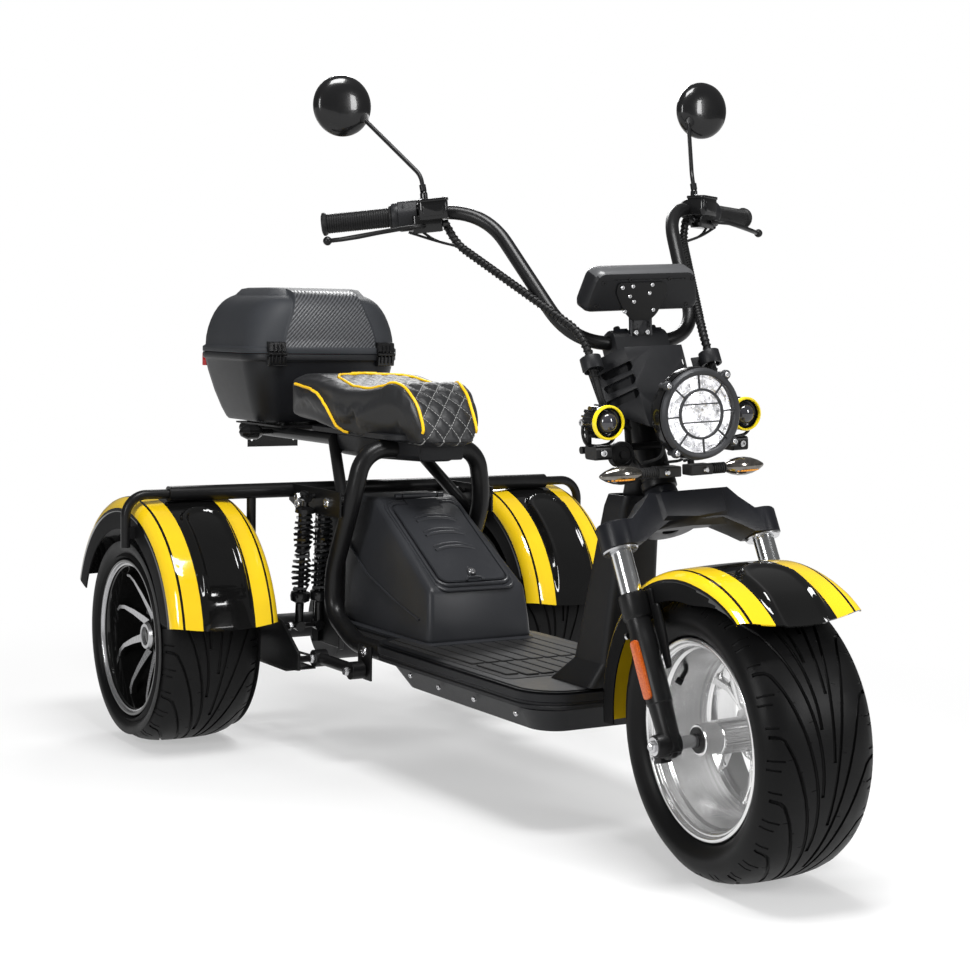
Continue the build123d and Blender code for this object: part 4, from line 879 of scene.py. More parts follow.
# %% [markdown]
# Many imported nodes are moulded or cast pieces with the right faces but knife-sharp
# edges. Real ones have rounded edges that catch the light. A copy of such a node is
# merged, its flat faces are joined again, and a Bevel modifier rounds the edges.

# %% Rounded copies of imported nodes
def copy_of_node(node, name):
    """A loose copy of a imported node, opened in edit mode with its doubles merged."""
    piece = copy_of(frame["nodes"][node], Matrix(), name)
    piece.parent = None
    piece.matrix_world = Matrix()
    edit(piece)
    bpy.ops.mesh.remove_doubles(threshold=DOUBLES)
    return piece


for node, width in {"top_yoke": 0.0025, "neck_cover": 0.0055, "axle_carriers": 0.0015,
        "arm_brackets": 0.0012}.items():
    piece = copy_of_node(node, f"{node} rounded")
    bpy.ops.mesh.dissolve_limited(angle_limit=radians(2))
    close()
    soften(piece, width, 2, 25)
    keep(piece, BODY_OF[node], SLOT_OF[node], replaces=[node], smooth=40)

# %% [markdown]
# A shape that changes along its length, such as the shell of the top box, is made from
# rings: each ring is drawn as a closed chain, and the Bridge operator spans the rings
# with faces. Its open ends are then filled.

# %% Bridged rings
def rings_to_skin(name, rings):
    """Bridges a row of rings, all with the same number of points, into one skin."""
    hoops = []
    for ring in rings:
        hoop = line("ring", ring)
        close()
        for vertex in hoop.data.vertices:
            vertex.select = vertex.index in (0, len(ring) - 1)
        bpy.ops.object.mode_set(mode="EDIT")
        bpy.ops.mesh.edge_face_add()
        close()
        hoops.append(hoop)
    piece = join(name, hoops)
    edit(piece)
    bpy.ops.mesh.delete(type="ONLY_FACE")
    bpy.ops.mesh.select_all(action="SELECT")
    bpy.ops.mesh.bridge_edge_loops()
    bpy.ops.mesh.select_all(action="SELECT")
    bpy.ops.mesh.fill_holes(sides=0)
    tidy_mesh()
    return piece


def rounded_ring(x0, x1, half, corner, z, breaks=()):
    """A level ring with round corners and extra points across at the given breaks."""
    corner = min(corner, half - 0.001, (x1 - x0) / 2 - 0.001)
    points = []
    for cx, cy, first in ((x1 - corner, half - corner, 0.0), (x0 + corner, half - corner, 90.0),
            (x0 + corner, corner - half, 180.0), (x1 - corner, corner - half, 270.0)):
        for k in range(8):
            turn = radians(first + 90.0 * k / 7)
            points.append((cx + corner * cos(turn), cy + corner * sin(turn), z))
        if first == 90.0:
            points += [(x0, y, z) for y in sorted(breaks, reverse=True)]
        if first == 270.0:
            points += [(x1, y, z) for y in sorted(breaks)]
    return points


# %% Opening a skin
def open_mouth(piece, level, thick):
    """Deletes the flat cap at a height, then gives the shell its thickness."""
    edit(piece)
    bpy.ops.mesh.select_all(action="DESELECT")
    close()
    for vertex in piece.data.vertices:
        vertex.select = abs(vertex.co.z - level) < 0.00005
    bpy.ops.object.mode_set(mode="EDIT")
    bpy.ops.mesh.delete(type="ONLY_FACE")
    close()
    modify(piece, "SOLIDIFY", thickness=thick, offset=-1.0)


# %% [markdown]
# The top box is blow-moulded plastic with a leathery grain: a base that widens upwards,
# a rim where the two halves meet, and a domed lid with a raised roof. The panel that
# faces the rider has a woven, carbon-like pattern, made of two sets of slanting ribs.
# A red reflector sits at the back and two ribbed hinges join the halves in front.

# %% Top box
BOX = [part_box("top_box_base"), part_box("top_box_lid")]
BOX_X0, BOX_X1 = BOX[1][0][0], min(BOX[1][1][0], -0.71)
BOX_HALF = BOX[1][1][1]
BOX_FOOT, BOX_RIM, BOX_SPLIT = BOX[0][0][2], 0.8195, 0.8205
LID_MOUTH = BOX_SPLIT + 0.00001


def panel_half(z):
    """Half width of the raised panel, which narrows towards the roof."""
    return 0.118 * (1.0 - 0.3 * smooth_step(z, 0.84, 0.96))


def box_ring(shrink, z, corner=0.07, side=None):
    """A ring of the box; above the rim it has points at the edges of the panel."""
    side = shrink if side is None else side
    breaks = []
    if z > BOX_SPLIT:
        edge = panel_half(z)
        breaks = [-edge, 0.004 - edge, edge - 0.004, edge]
        corner = min(corner, BOX_HALF - side - edge - 0.004)
    return rounded_ring(BOX_X0 + shrink, BOX_X1 - shrink, BOX_HALF - side, corner, z, breaks)


base = rings_to_skin("top box base", [box_ring(*row) for row in ((0.052, BOX_FOOT, 0.05),
    (0.047, BOX_FOOT + 0.006, 0.052), (0.038, 0.69, 0.055), (0.024, 0.73, 0.06),
    (0.012, 0.775, 0.064), (0.007, 0.8, 0.066), (0.006, 0.803), (0.001, 0.806),
    (0.001, BOX_RIM))])
open_mouth(base, BOX_RIM, 0.004)
soften(base, 0.0012, 2, 35)
keep(base, "vehicle", "box_plastic", replaces=["top_box_base"])

lid = rings_to_skin("top box lid", [box_ring(*row) for row in ((0.0005, LID_MOUTH),
    (0.0005, 0.832), (0.0065, 0.836), (0.0065, 0.856, 0.075, 0.008),
    (0.0075, 0.876, 0.075, 0.0115), (0.0095, 0.894, 0.078, 0.0165), (0.012, 0.91, 0.08, 0.0235),
    (0.016, 0.923, 0.08, 0.032), (0.0215, 0.934, 0.08, 0.042), (0.029, 0.942, 0.076, 0.052),
    (0.039, 0.948, 0.068, 0.062), (0.054, 0.953, 0.058, 0.072), (0.074, 0.957, 0.048, 0.082),
    (0.1, 0.96, 0.038, 0.092))])
for vertex in lid.data.vertices:
    x, y, z = vertex.co
    if z > 0.9555 or z > 0.834 and abs(y) < panel_half(z) - 0.002:
        vertex.co.z += 0.0095 * smooth_step(z, 0.9, 0.955)
        vertex.co.x += 0.0035 if x > (BOX_X0 + BOX_X1) / 2 else 0.0
open_mouth(lid, LID_MOUTH, 0.0035)
soften(lid, 0.0012, 2, 40)
carbon = Finish("woven panel", Specular_IOR_Level=0.3)
side_way = carbon.axes(carbon.place())
slant = side_way[1] * 0.7 + side_way[2] * 0.7
other = side_way[1] * 0.7 - side_way[2] * 0.7
ribs = (other * 1000.0).math("SINE") * 0.85 + (slant * 500.0).math("SINE") * 0.15
carbon.set("Base Color", carbon.mix(ribs * 0.5 + 0.5, (0.012, 0.0125, 0.014),
    (0.09, 0.093, 0.1)))
carbon.set("Roughness", ribs * -0.08 + 0.42)
carbon.bump(ribs, 0.6, 0.0008)
# The lid's plastic is several times lighter than the base's box plastic, which paints the light that falls on the
# top of the box.
LID_PLASTIC_PAINTED_LIGHTER = speckled("lid plastic", (0.026, 0.028, 0.032), 0.56, 0.06, 60, 1200, 0.00025)
paint(lid, [LID_PLASTIC_PAINTED_LIGHTER, carbon], lambda place, way: int(way.x > 0.3 and abs(place.y) < 0.06 and
    0.8365 < place.z < 0.962))
keep(lid, "box_lid", "box_plastic", replaces=["top_box_lid"], smooth=38)

HINGE_X, HINGE_Z = JOINTS["box_lid_turn"]["pos_m"][0], JOINTS["box_lid_turn"]["pos_m"][2]


def strap(up):
    """Half of a box hinge: a curved leaf with ribs, above or below the pin."""
    leaf = slab("leaf", "Y", -0.021, 0.042, [(HINGE_X - 0.012, HINGE_Z + up * 0.004),
        (HINGE_X + 0.002, HINGE_Z + up * 0.006), (HINGE_X - 0.001, HINGE_Z + up * 0.026),
        (HINGE_X - 0.016, HINGE_Z + up * 0.028)])
    rib = slab("rib", "Y", -0.0015, 0.003, [(HINGE_X - 0.004, HINGE_Z + up * 0.002),
        (HINGE_X + 0.006, HINGE_Z + up * 0.003), (HINGE_X + 0.003, HINGE_Z + up * 0.02),
        (HINGE_X - 0.004, HINGE_Z + up * 0.024)])
    rows = (-0.014, -0.005, 0.005, 0.014) if up < 0 else (-0.0095, 0.0, 0.0095)
    ribs = [copy_of(rib, at(0, y, 0)) for y in rows]
    bpy.data.objects.remove(rib)
    return soften(join("strap", [leaf] + ribs), 0.0008, 1)


pin = moved(disc("pin", 0.0045, -0.022, 0.022, steps=20), at(HINGE_X, 0, HINGE_Z))
low = join("hinge", [strap(-1), pin])
high = strap(1)
for name, half, body in (("lower", low, "vehicle"), ("upper", high, "box_lid")):
    pair = [copy_of(half, at(0, y, 0)) for y in (-0.137, 0.137)]
    bpy.data.objects.remove(half)
    keep(join(f"box hinges {name}", pair), body, "box_plastic", finish=FINISHES["lamp_black"])

RED = speckled("reflector red", (0.45, 0.008, 0.01), 0.12, 0.05, 60, Coat_Weight=0.4)
band = [p for p in rounded_ring(BOX_X0 - 0.0045, BOX_X1, BOX_HALF + 0.0035, 0.076, 0.786)
    if p[0] < BOX_X0 + 0.03]
inside = [(x + 0.012, y * 0.97, z) for x, y, z in reversed(band)]
reflector = plate("box reflector", band + inside, (0, 0, 0.03))
soften(reflector, 0.002, 2)
keep(reflector, "vehicle", "box_plastic", finish=RED)

# %% [markdown]
# The saddle is foam under leather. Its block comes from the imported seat: a slightly
# smaller copy is remeshed into even cells, and a short cloth simulation with pressure
# lets it swell against its own skin, with a cap on how far any point may go. The
# quilting, the seams and the piping come after that, because they are finer than the
# cells. Lengths over the saddle are measured along its side profile.

# %% Saddle
CREST = [(-0.65, 0.69), (-0.64, 0.772), (-0.6, 0.778), (-0.52, 0.777), (-0.45, 0.766),
    (-0.4, 0.758), (-0.35, 0.757), (-0.3, 0.764), (-0.26, 0.768), (-0.222, 0.758),
    (-0.196, 0.736), (-0.176, 0.706), (-0.162, 0.68), (-0.158, 0.659)]


def along_crest(x, z):
    """Distance over the saddle, from its back to its nose, at a point's nearest place."""
    best, total, found = 9.0, 0.0, 0.0
    for (x0, z0), (x1, z1) in zip(CREST, CREST[1:]):
        run = hypot(x1 - x0, z1 - z0)
        share = ((x - x0) * (x1 - x0) + (z - z0) * (z1 - z0)) / run ** 2
        share = min(1.0, max(0.0, share))
        gap = hypot(x - x0 - share * (x1 - x0), z - z0 - share * (z1 - z0))
        if gap < best:
            best, found = gap, total + share * run
        total += run
    return found


saddle = copy_of_node("seat", "saddle")
close()
low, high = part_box("seat")
middle_x = (low[0] + high[0]) / 2
CELL, SWELL, PRESSURE = 0.0055, 0.006, 4.0
modify(saddle, "REMESH", mode="VOXEL", voxel_size=CELL)


def between(knots, x):
    """A value on the straight lines between known points."""
    if x <= knots[0][0]:
        return knots[0][1]
    for (x0, v0), (x1, v1) in zip(knots, knots[1:]):
        if x <= x1:
            return v0 + (v1 - v0) * (x - x0) / (x1 - x0)
    return knots[-1][1]


TOPS = [(-0.655, 0.762), (-0.64, 0.772), (-0.6, 0.778), (-0.52, 0.777), (-0.45, 0.766),
    (-0.4, 0.758), (-0.35, 0.757), (-0.3, 0.764), (-0.27, 0.771), (-0.245, 0.77),
    (-0.215, 0.758), (-0.195, 0.741), (-0.178, 0.718), (-0.166, 0.7), (-0.148, 0.664)]
BASES = [(-0.655, 0.69), (-0.56, 0.68), (-0.46, 0.666), (-0.36, 0.648), (-0.3, 0.644),
    (-0.148, 0.646)]
PACKED_TOPS = [(-0.655, 0.757), (-0.641, 0.772), (-0.595, 0.775), (-0.46, 0.769),
    (-0.301, 0.756), (-0.238, 0.769), (-0.17, 0.779), (-0.148, 0.763)]
for vertex in saddle.data.vertices:
    x, y, z = vertex.co
    share = (z - low[2]) / (between(PACKED_TOPS, x) - low[2])
    share = min(1.0, max(0.0, share))
    base_z, top_z = between(BASES, x), between(TOPS, x)
    vertex.co.z = base_z + 0.003 + (top_z - base_z - 0.006) * share
    waist = 1.0 - 0.1 * smooth_step(x, -0.5, -0.36) * smooth_step(share, 0.9, 0.3)
    vertex.co.y = y * 0.965 * waist
    vertex.co.x = middle_x + (x - middle_x) * 0.985
modify(saddle, "SMOOTH", factor=0.7, iterations=22)
before = [vertex.co.copy() for vertex in saddle.data.vertices]
cloth = saddle.modifiers.new("cloth", "CLOTH")
cloth.settings.use_pressure = True
cloth.settings.uniform_pressure_force = PRESSURE
cloth.settings.effector_weights.gravity = 0.0
cloth.settings.quality = 5
for k in range(1, 21):
    bpy.context.scene.frame_set(k)
pick(saddle)
bpy.ops.object.modifier_apply(modifier="cloth")
bpy.context.scene.frame_set(1)
for vertex, old in zip(saddle.data.vertices, before):
    move = vertex.co - old
    if move.length > SWELL:
        vertex.co = old + move.normalized() * SWELL
modify(saddle, "SUBSURF", levels=1, render_levels=1)


def quilt_half(s):
    """Half width of the quilted panel at a distance over the saddle."""
    knots = [(0.185, 0.0), (0.19, 0.05), (0.205, 0.078), (0.24, 0.094), (0.3, 0.1),
        (0.36, 0.096), (0.43, 0.08), (0.5, 0.067), (0.56, 0.062), (0.8, 0.062)]
    for (s0, w0), (s1, w1) in zip(knots, knots[1:]):
        if s <= s1:
            return w0 + (w1 - w0) * smooth_step(s, s0, s1)
    return knots[-1][1]


ROWS, COLUMNS, DIP, SEAM = 0.05, 0.038, 0.0022, 0.0016
quilted = saddle.data.uv_layers.new(name="quilt")
measured = [(along_crest(v.co.x, v.co.z), v.co.y) for v in saddle.data.vertices]
for loop in saddle.data.loops:
    quilted.data[loop.index].uv = measured[loop.vertex_index]
normals = [vertex.normal.copy() for vertex in saddle.data.vertices]
for vertex, normal, (s, y) in zip(saddle.data.vertices, normals, measured):
    inside = smooth_step(quilt_half(s) - abs(y), 0.001, 0.007)
    if normal.z < -0.5:
        continue
    dips = []
    for way in (1, -1):
        phase = s / ROWS + way * y / COLUMNS
        off = abs(phase - round(phase)) * COLUMNS * ROWS / hypot(ROWS, COLUMNS)
        dips.append(1.0 - smooth_step(off, 0.0, 0.011))
    vertex.co -= normal * DIP * inside * max(dips)
    seam = abs(abs(y) - quilt_half(s))
    if s > 0.186:
        vertex.co -= normal * SEAM * (1.0 - smooth_step(seam, 0.0, 0.008))

leather = Finish("quilted leather", Specular_IOR_Level=0.35)
quilt_map = leather.node("ShaderNodeUVMap", {"uv_map": "quilt"}, {})
s_way, y_way = leather.axes(quilt_map, 2)
panel = leather.between(s_way, 0.17, 0.3, 0.045, 0.084, interpolation_type="SMOOTHSTEP")
narrow = leather.between(s_way, 0.42, 0.62, 0.0, 0.024, interpolation_type="SMOOTHSTEP")
within = (y_way.math("ABSOLUTE") < (panel - narrow)) * (s_way > 0.172)
thread = None
for way in (1, -1):
    phase = s_way / ROWS + y_way / (way * COLUMNS)
    off = (phase - phase.math("ROUND")).math("ABSOLUTE")
    stitch = ((s_way * 160.0).math("FRACT") < 0.72) * (off < 0.0125)
    thread = stitch if thread is None else thread.math("MAXIMUM", stitch)
thread = thread * within
grain = leather.cells(520.0)
drift = leather.noise(9.0, 4.0)
hide = leather.mix(drift, (0.011, 0.0112, 0.012), (0.02, 0.0205, 0.022))
leather.set("Base Color", leather.mix(thread, hide, (0.42, 0.42, 0.41)))
leather.set("Roughness", drift * 0.16 + 0.36 + thread * 0.3)
leather.bump(grain * 0.5 + thread * 0.8, 0.35, 0.0007)
FINISHES["seat_leather"] = leather
saddle.data.materials.clear()
keep(saddle, "vehicle", "seat_leather", replaces=["seat"], smooth=60)
print("saddle", len(saddle.data.polygons), "faces")

# %% [markdown]
# Yellow piping edges the quilted panel and runs as a swoosh over each rear side. A
# point of the piping is found by casting a ray at the saddle's skin from outside, so
# that the cord follows the swollen leather.

# %% Piping
CORD, LIFT = 0.0032, 0.0012
PIPING = speckled("piping yellow", (0.9, 0.5, 0.01), 0.38, 0.08, 50, 900, 0.0002)


def on_saddle(point, way):
    """Where a ray from outside the saddle meets its skin."""
    start = Vector(point) - Vector(way) * 0.2
    hit, place, normal, _ = saddle.ray_cast(start, Vector(way))
    return place + normal * LIFT if hit else None


def crest_point(s):
    """The point of the crest at a distance along it, and the way to look at it."""
    for (x0, z0), (x1, z1) in zip(CREST, CREST[1:]):
        run = hypot(x1 - x0, z1 - z0)
        if s <= run:
            share = s / run
            return (Vector((x0 + (x1 - x0) * share, 0, z0 + (z1 - z0) * share)),
                Vector((-(z1 - z0) / run, 0, (x1 - x0) / run)))
        s -= run
    return Vector((CREST[-1][0], 0, CREST[-1][1])), Vector((1, 0, -0.3))


def piping(points):
    """A cord through the points of the skin that were found."""
    return tube("piping", [p for p in points if p is not None], CORD)


edge = []
stops = [0.168 + 0.0065 * k for k in range(88)]
for side, run in ((-1, reversed(stops)), (1, stops)):
    for s in run:
        centre, way = crest_point(s)
        if centre.z < 0.668 and s > 0.5:
            continue
        half = quilt_half(s)
        if s < 0.175:
            half = 0.03 if s > 0.17 else 0.012
        edge.append(on_saddle((centre.x, side * half, centre.z), -way.normalized()))
cords = [piping(edge)]
for side in (-1, 1):
    swoosh = [(0.01, 0.757), (0.044, 0.753), (0.088, 0.749), (0.12, 0.741), (0.142, 0.729),
        (0.158, 0.714), (0.171, 0.694), (0.184, 0.675), (0.201, 0.665), (0.222, 0.661)]
    path = []
    for (xa, za), (xb, zb) in zip(swoosh, swoosh[1:]):
        path += [(xa, za), ((xa + xb) / 2, (za + zb) / 2)]
    cords.append(piping([on_saddle((REAR_AXLE_X + x, side * 0.1, z), (0, -side, 0))
        for x, z in path]))
keep(join("saddle piping", cords), "vehicle", "seat_leather", finish=PIPING)

# %% [markdown]
# Fasteners show all over the head and the frame. One bolt is a spun outline with a
# hexagonal socket; copies of it are turned to face the way each hole faces.

# %% Fasteners
ZINC = speckled("zinc", (0.55, 0.55, 0.56), 0.25, 0.08, 120, Metallic=1.0)
STEEL_DARK = speckled("blackened steel", (0.02, 0.02, 0.021), 0.32, 0.08, 90, Metallic=0.6)


def bolts(name, places, radius=0.004, height=0.003, sides=20):
    """Bolt heads joined into one piece; each place is (point, direction it faces)."""
    head = turned("head", [(0.0, height * 0.35), (radius * 0.42, height * 0.35),
        (radius * 0.5, height), (radius * 0.85, height), (radius, height * 0.7),
        (radius, -0.001), (0.0, -0.001)], axis="Z", steps=sides)
    copies = []
    for point, way in places:
        aim = Vector(way).to_track_quat("Z", "Y").to_matrix().to_4x4()
        copies.append(copy_of(head, Matrix.Translation(point) @ aim))
    bpy.data.objects.remove(head)
    return join(name, copies)


# %% [markdown]
# The display has a rounded plastic back that faces ahead, hung on a folded steel
# bracket with small bright screws. The bracket is one flat blank, wide where it holds
# the display and narrow where it drops to the bar clamp. The display glass faces the
# rider. The label place on its back stays blank.

# %% Display
DASH = LEVEL @ at(-0.253, 0, 0.726) @ Matrix(((0.348, 0, -0.9375, 0), (0, 1, 0, 0),
    (0.9375, 0, 0.348, 0), (0, 0, 0, 1)))


def dash_ring(shrink, z):
    """A ring of the display shell."""
    return rounded_ring(-0.0373 + shrink, 0.0373 - shrink, 0.106 - shrink, 0.016, z)


shell = rings_to_skin("display shell", [dash_ring(*row) for row in ((0.0085, -0.0224),
    (0.0045, -0.0212), (0.0015, -0.017), (0.0, -0.01), (0.0, 0.01), (0.0025, 0.0175),
    (0.0045, 0.02), (0.0105, 0.0206), (0.011, 0.019))])
slot = slab("slot", "Z", -0.03, 0.0095, [(0.0215, -0.068), (0.0215, 0.08), (0.0236, 0.08),
    (0.0236, -0.068)])
boolean(shell, slot)
for vertex in shell.data.vertices:
    vertex.co.y *= 1.01 - 0.085 * vertex.co.x / 0.0373
screen = Finish("display glass", Roughness=0.06, Coat_Weight=0.5)
glow = screen.noise(20.0, 2.0)
screen.set("Base Color", screen.mix(glow, (0.006, 0.007, 0.01), (0.01, 0.012, 0.016)))
# The faces that look up get a much lighter plastic than the rest of the shell: a painted highlight of the light
# that falls on the top.
PAINTED_LIT_TOP = speckled("display shelf", (0.06, 0.061, 0.064), 0.34, 0.08, 60, 1200, 0.00015,
    Specular_IOR_Level=0.5)
paint(shell, [FINISHES["moulded_plastic"], screen, PAINTED_LIT_TOP],
    lambda place, way: 2 if way.x > 0.5 else int(way.z > 0.9 and place.z > 0.0185 and
    abs(place.x) < 0.026))
keep(shell, "steering", "moulded_plastic", DASH, ["dash"])
face = [(-0.052, -0.018), (-0.036, -0.036), (0.0, -0.058), (0.018, -0.056), (0.018, 0.036),
    (0.0, 0.044), (-0.04, 0.03), (-0.052, 0.018)]
bracket = moved(plate("display bracket", round_outline([(x, y, -0.0229) for x, y in face],
    0.006), (0, 0, -0.0028)), DASH)
flat = [(-0.027, 0.6), (-0.022, 0.622), (-0.019, 0.65), (-0.018, 0.704), (0.018, 0.704),
    (0.019, 0.65), (0.022, 0.622), (0.027, 0.6)]
stem = moved(plate("stem", round_outline([(-0.251, y, z) for y, z in flat], 0.006),
    (0.004, 0, 0)), LEVEL)
soften(join("display bracket", [bracket, stem]), 0.0007, 1)
keep(bracket, "steering", "moulded_plastic", finish=FINISHES["frame_black"])
heads = bolts("display screws", [((x, y, -0.0256), (0, 0, -1))
    for x, y in ((0.01, -0.048), (0.012, -0.028), (-0.006, -0.031), (-0.016, -0.021),
    (0.014, 0.01), (-0.001, 0.007), (-0.034, -0.036), (-0.032, 0.02))], 0.0036, 0.0024)
heads.data.transform(DASH)
low = bolts("low", [((-0.247, y, 0.648), (1, 0, 0)) for y in (-0.0115, 0.0115)], 0.0045, 0.003)
low.data.transform(LEVEL)
keep(join("display screws", [heads, low]), "steering", "moulded_plastic", finish=ZINC)
heads = bolts("dark display screws", [((x, y, -0.0218), (0, 0, -1))
    for x, y in ((0.0225, -0.032), (0.0225, 0.046), (0.018, -0.084), (0.022, 0.092),
    (-0.024, -0.092), (-0.026, 0.088))], 0.0042, 0.002)
heads.data.transform(DASH)
keep(heads, "steering", "moulded_plastic", finish=STEEL_DARK)

# %% [markdown]
# A pressed shield in three facets covers the head tube, with slots on each side. It is
# one bent sheet. The slots are cut through it with a Boolean modifier. Two open loops
# of strap at its upper corners hold the cable looms.

# %% Head shield
chain_top = [(0.03, -0.1), (0.097, -0.056), (0.097, 0.056), (0.03, 0.1)]
chain_low = [(0.034, -0.094, 0.566), (0.094, -0.046, 0.505), (0.094, 0.046, 0.505),
    (0.034, 0.094, 0.566)]
shield = line("head shield", [(u, v, 0.652) for u, v in chain_top])
close()
lower = line("lower", chain_low)
close()
shield = join("head shield", [shield, lower])
edit(shield)
bpy.ops.mesh.bridge_edge_loops()
bpy.ops.mesh.subdivide(number_cuts=1)
tidy_mesh()
modify(shield, "SOLIDIFY", thickness=0.004, offset=0.0)
slots = []
for side in (-1, 1):
    for w in (0.618, 0.594, 0.568):
        outline = [(side * 0.05, w + 0.008), (side * 0.088, w + 0.006),
            (side * 0.084, w - 0.008), (side * 0.054, w - 0.009), (side * 0.049, w - 0.002)]
        slots.append(plate("slot", round_outline([(0.02, v, z) for v, z in outline], 0.004),
            (0.1, 0, 0)))
slots = join("slots", slots)
boolean(shield, slots)
soften(shield, 0.0012, 2)
backing = line("backing", [(0.024, -0.09, 0.64), (0.084, -0.052, 0.64), (0.084, 0.052, 0.64),
    (0.024, 0.09, 0.64)])
bpy.ops.mesh.extrude_region_move(TRANSFORM_OT_translate={"value": (0, 0, -0.08)})
tidy_mesh()
modify(backing, "SOLIDIFY", thickness=0.002)
loops = []
for side in (-1, 1):
    turn = [(0.082 + 0.0165 * cos(radians(a)), side * (0.118 + 0.0165 * sin(radians(a))), 0.618)
        for a in range(-215, 120, 15)]
    loops.append(sheet("strap", [(0.06, side * 0.094, 0.618)] + turn, (0, 0, 0.024), 0.004))
loops = soften(join("loom straps", loops), 0.0012, 2)
keep(join("head shield", [shield, backing, loops]), "steering", "crown_grey", FORK, ["fairing"],
    finish=FINISHES["moulded_plastic"])

# %% [markdown]
# The headlight is a spun bowl with a faceted bright reflector behind a domed lens, and
# a cast grille in front: an outer ring with four lugs, an inner ring, eight spokes and
# two cross bars. The lug bolts pass through short posts. In the reflector, small cells
# of different tilt are made by a bump from a Voronoi texture. The same cells make some
# facets lighter than others, and a noise drives a weak glow: both are painted glints,
# light that the facets would reflect.

# %% Headlight
LAMP = LEVEL @ at(-0.064, 0, 0.516)
bowl = turned("headlight bowl", [(0.0, -0.08), (0.024, -0.079), (0.046, -0.07), (0.061, -0.052),
    (0.07, -0.03), (0.0735, -0.02), (0.078, -0.018), (0.0785, -0.008), (0.077, 0.0015),
    (0.068, 0.001), (0.0665, -0.006)], axis="X", steps=72)
keep(bowl, "steering", "lamp_black", LAMP, ["headlight"])
reflector_with_painted_glints = Finish("reflector", Metallic=0.85, Roughness=0.22)
# The cells tilt the facets and also lighten some of them, and a noise-driven emission makes spots glow: painted
# glints of reflected light.
facets = reflector_with_painted_glints.cells(105.0)
reflector_with_painted_glints.set("Base Color", reflector_with_painted_glints.mix(facets, (0.6, 0.6, 0.62), (0.95, 0.95, 0.95)))
painted_glint_noise = reflector_with_painted_glints.noise(55.0, 3.0)
reflector_with_painted_glints.set("Emission Color", reflector_with_painted_glints.mix(reflector_with_painted_glints.between(painted_glint_noise, 0.4, 0.6,
    0.0, 1.0), (0.14, 0.14, 0.15), (0.95, 0.95, 0.97)))
reflector_with_painted_glints.set("Emission Strength", 0.9)
reflector_with_painted_glints.bump(facets, 0.9, 0.006)
dish = turned("headlight reflector", [(0.067, -0.005), (0.06, -0.018), (0.048, -0.026),
    (0.042, -0.027), (0.04, -0.021), (0.033, -0.031), (0.018, -0.04), (0.0, -0.043)], axis="X",
    steps=72)
keep(dish, "steering", "lamp_black", LAMP, finish=reflector_with_painted_glints)
lens = turned("headlight glass", [(0.0, -0.001), (0.022, -0.0018), (0.042, -0.0045),
    (0.058, -0.009), (0.066, -0.012), (0.066, -0.014), (0.057, -0.011), (0.042, -0.0065),
    (0.022, -0.0036), (0.0, -0.0028)], axis="X", steps=64)
keep(lens, "steering", "lens_clear", LAMP, ["headlight_lens"])

GREY_CAST = speckled("grille grey", (0.034, 0.035, 0.038), 0.42, 0.08, 80, 800, 0.0002,
    Metallic=0.25)
ring = turned("grille", [(0.0645, 0.005), (0.0645, 0.01), (0.0665, 0.0125), (0.072, 0.0125),
    (0.0755, 0.009), (0.0765, 0.004), (0.074, 0.0025), (0.0645, 0.005)], axis="X", steps=72)
inner = turned("inner", [(0.0385, 0.006), (0.0385, 0.0115), (0.0425, 0.0115), (0.0425, 0.006),
    (0.0385, 0.006)], axis="X", steps=56)
spoke = slab("spoke", "Z", 0.041, 0.025, [(0.007, -0.0013), (0.0115, -0.001), (0.0115, 0.001),
    (0.007, 0.0013)])
spokes = around(spoke, 8, "X", radians(4))
bars = []
for z in (-0.0135, 0.0165):
    reach = sqrt(0.0395 ** 2 - z ** 2)
    bars.append(slab("bar", "Y", -reach, 2 * reach, [(0.007, z - 0.0012), (0.0112, z - 0.001),
        (0.0112, z + 0.001), (0.007, z + 0.0012)]))
lugs, nuts = [], []
for turn in (52, 142, 232, 322):
    y, z = 0.08 * cos(radians(turn)), 0.08 * sin(radians(turn))
    lug = turned("lug", [(0.0, 0.0035), (0.0078, 0.0035), (0.0078, 0.0105), (0.0068, 0.012),
        (0.0, 0.012)], axis="X", steps=24)
    post = disc("post", 0.0046, -0.014, 0.004, "X", 16)
    web = moved(slab("web", "X", 0.0035, 0.0075, [(-0.0085, -0.012), (0.0085, -0.012),
        (0.006, 0.002), (-0.006, 0.002)]), about("X", turn - 90))
    for piece in (lug, post, web):
        piece.data.transform(at(0, y, z))
        lugs.append(piece)
    nuts.append(((0.0118, y, z), (1, 0, 0)))
grille = soften(join("headlight grille", [ring, inner, spokes] + bars + lugs), 0.0006, 1, 50)
keep(grille, "steering", "lamp_black", LAMP, ["headlight_guard"], finish=GREY_CAST)
keep(bolts("grille bolts", nuts, 0.0045, 0.0025), "steering", "lamp_black", LAMP, finish=ZINC)

# %% [markdown]
# Each fog lamp has a yellow ring, a black bezel and a ball lens in a finned body, on a
# cross bar below the headlight. One lamp is modelled and mirrored. The fins are thin
# plates copied round the body, and a wire-like strap wraps the back of each lamp.

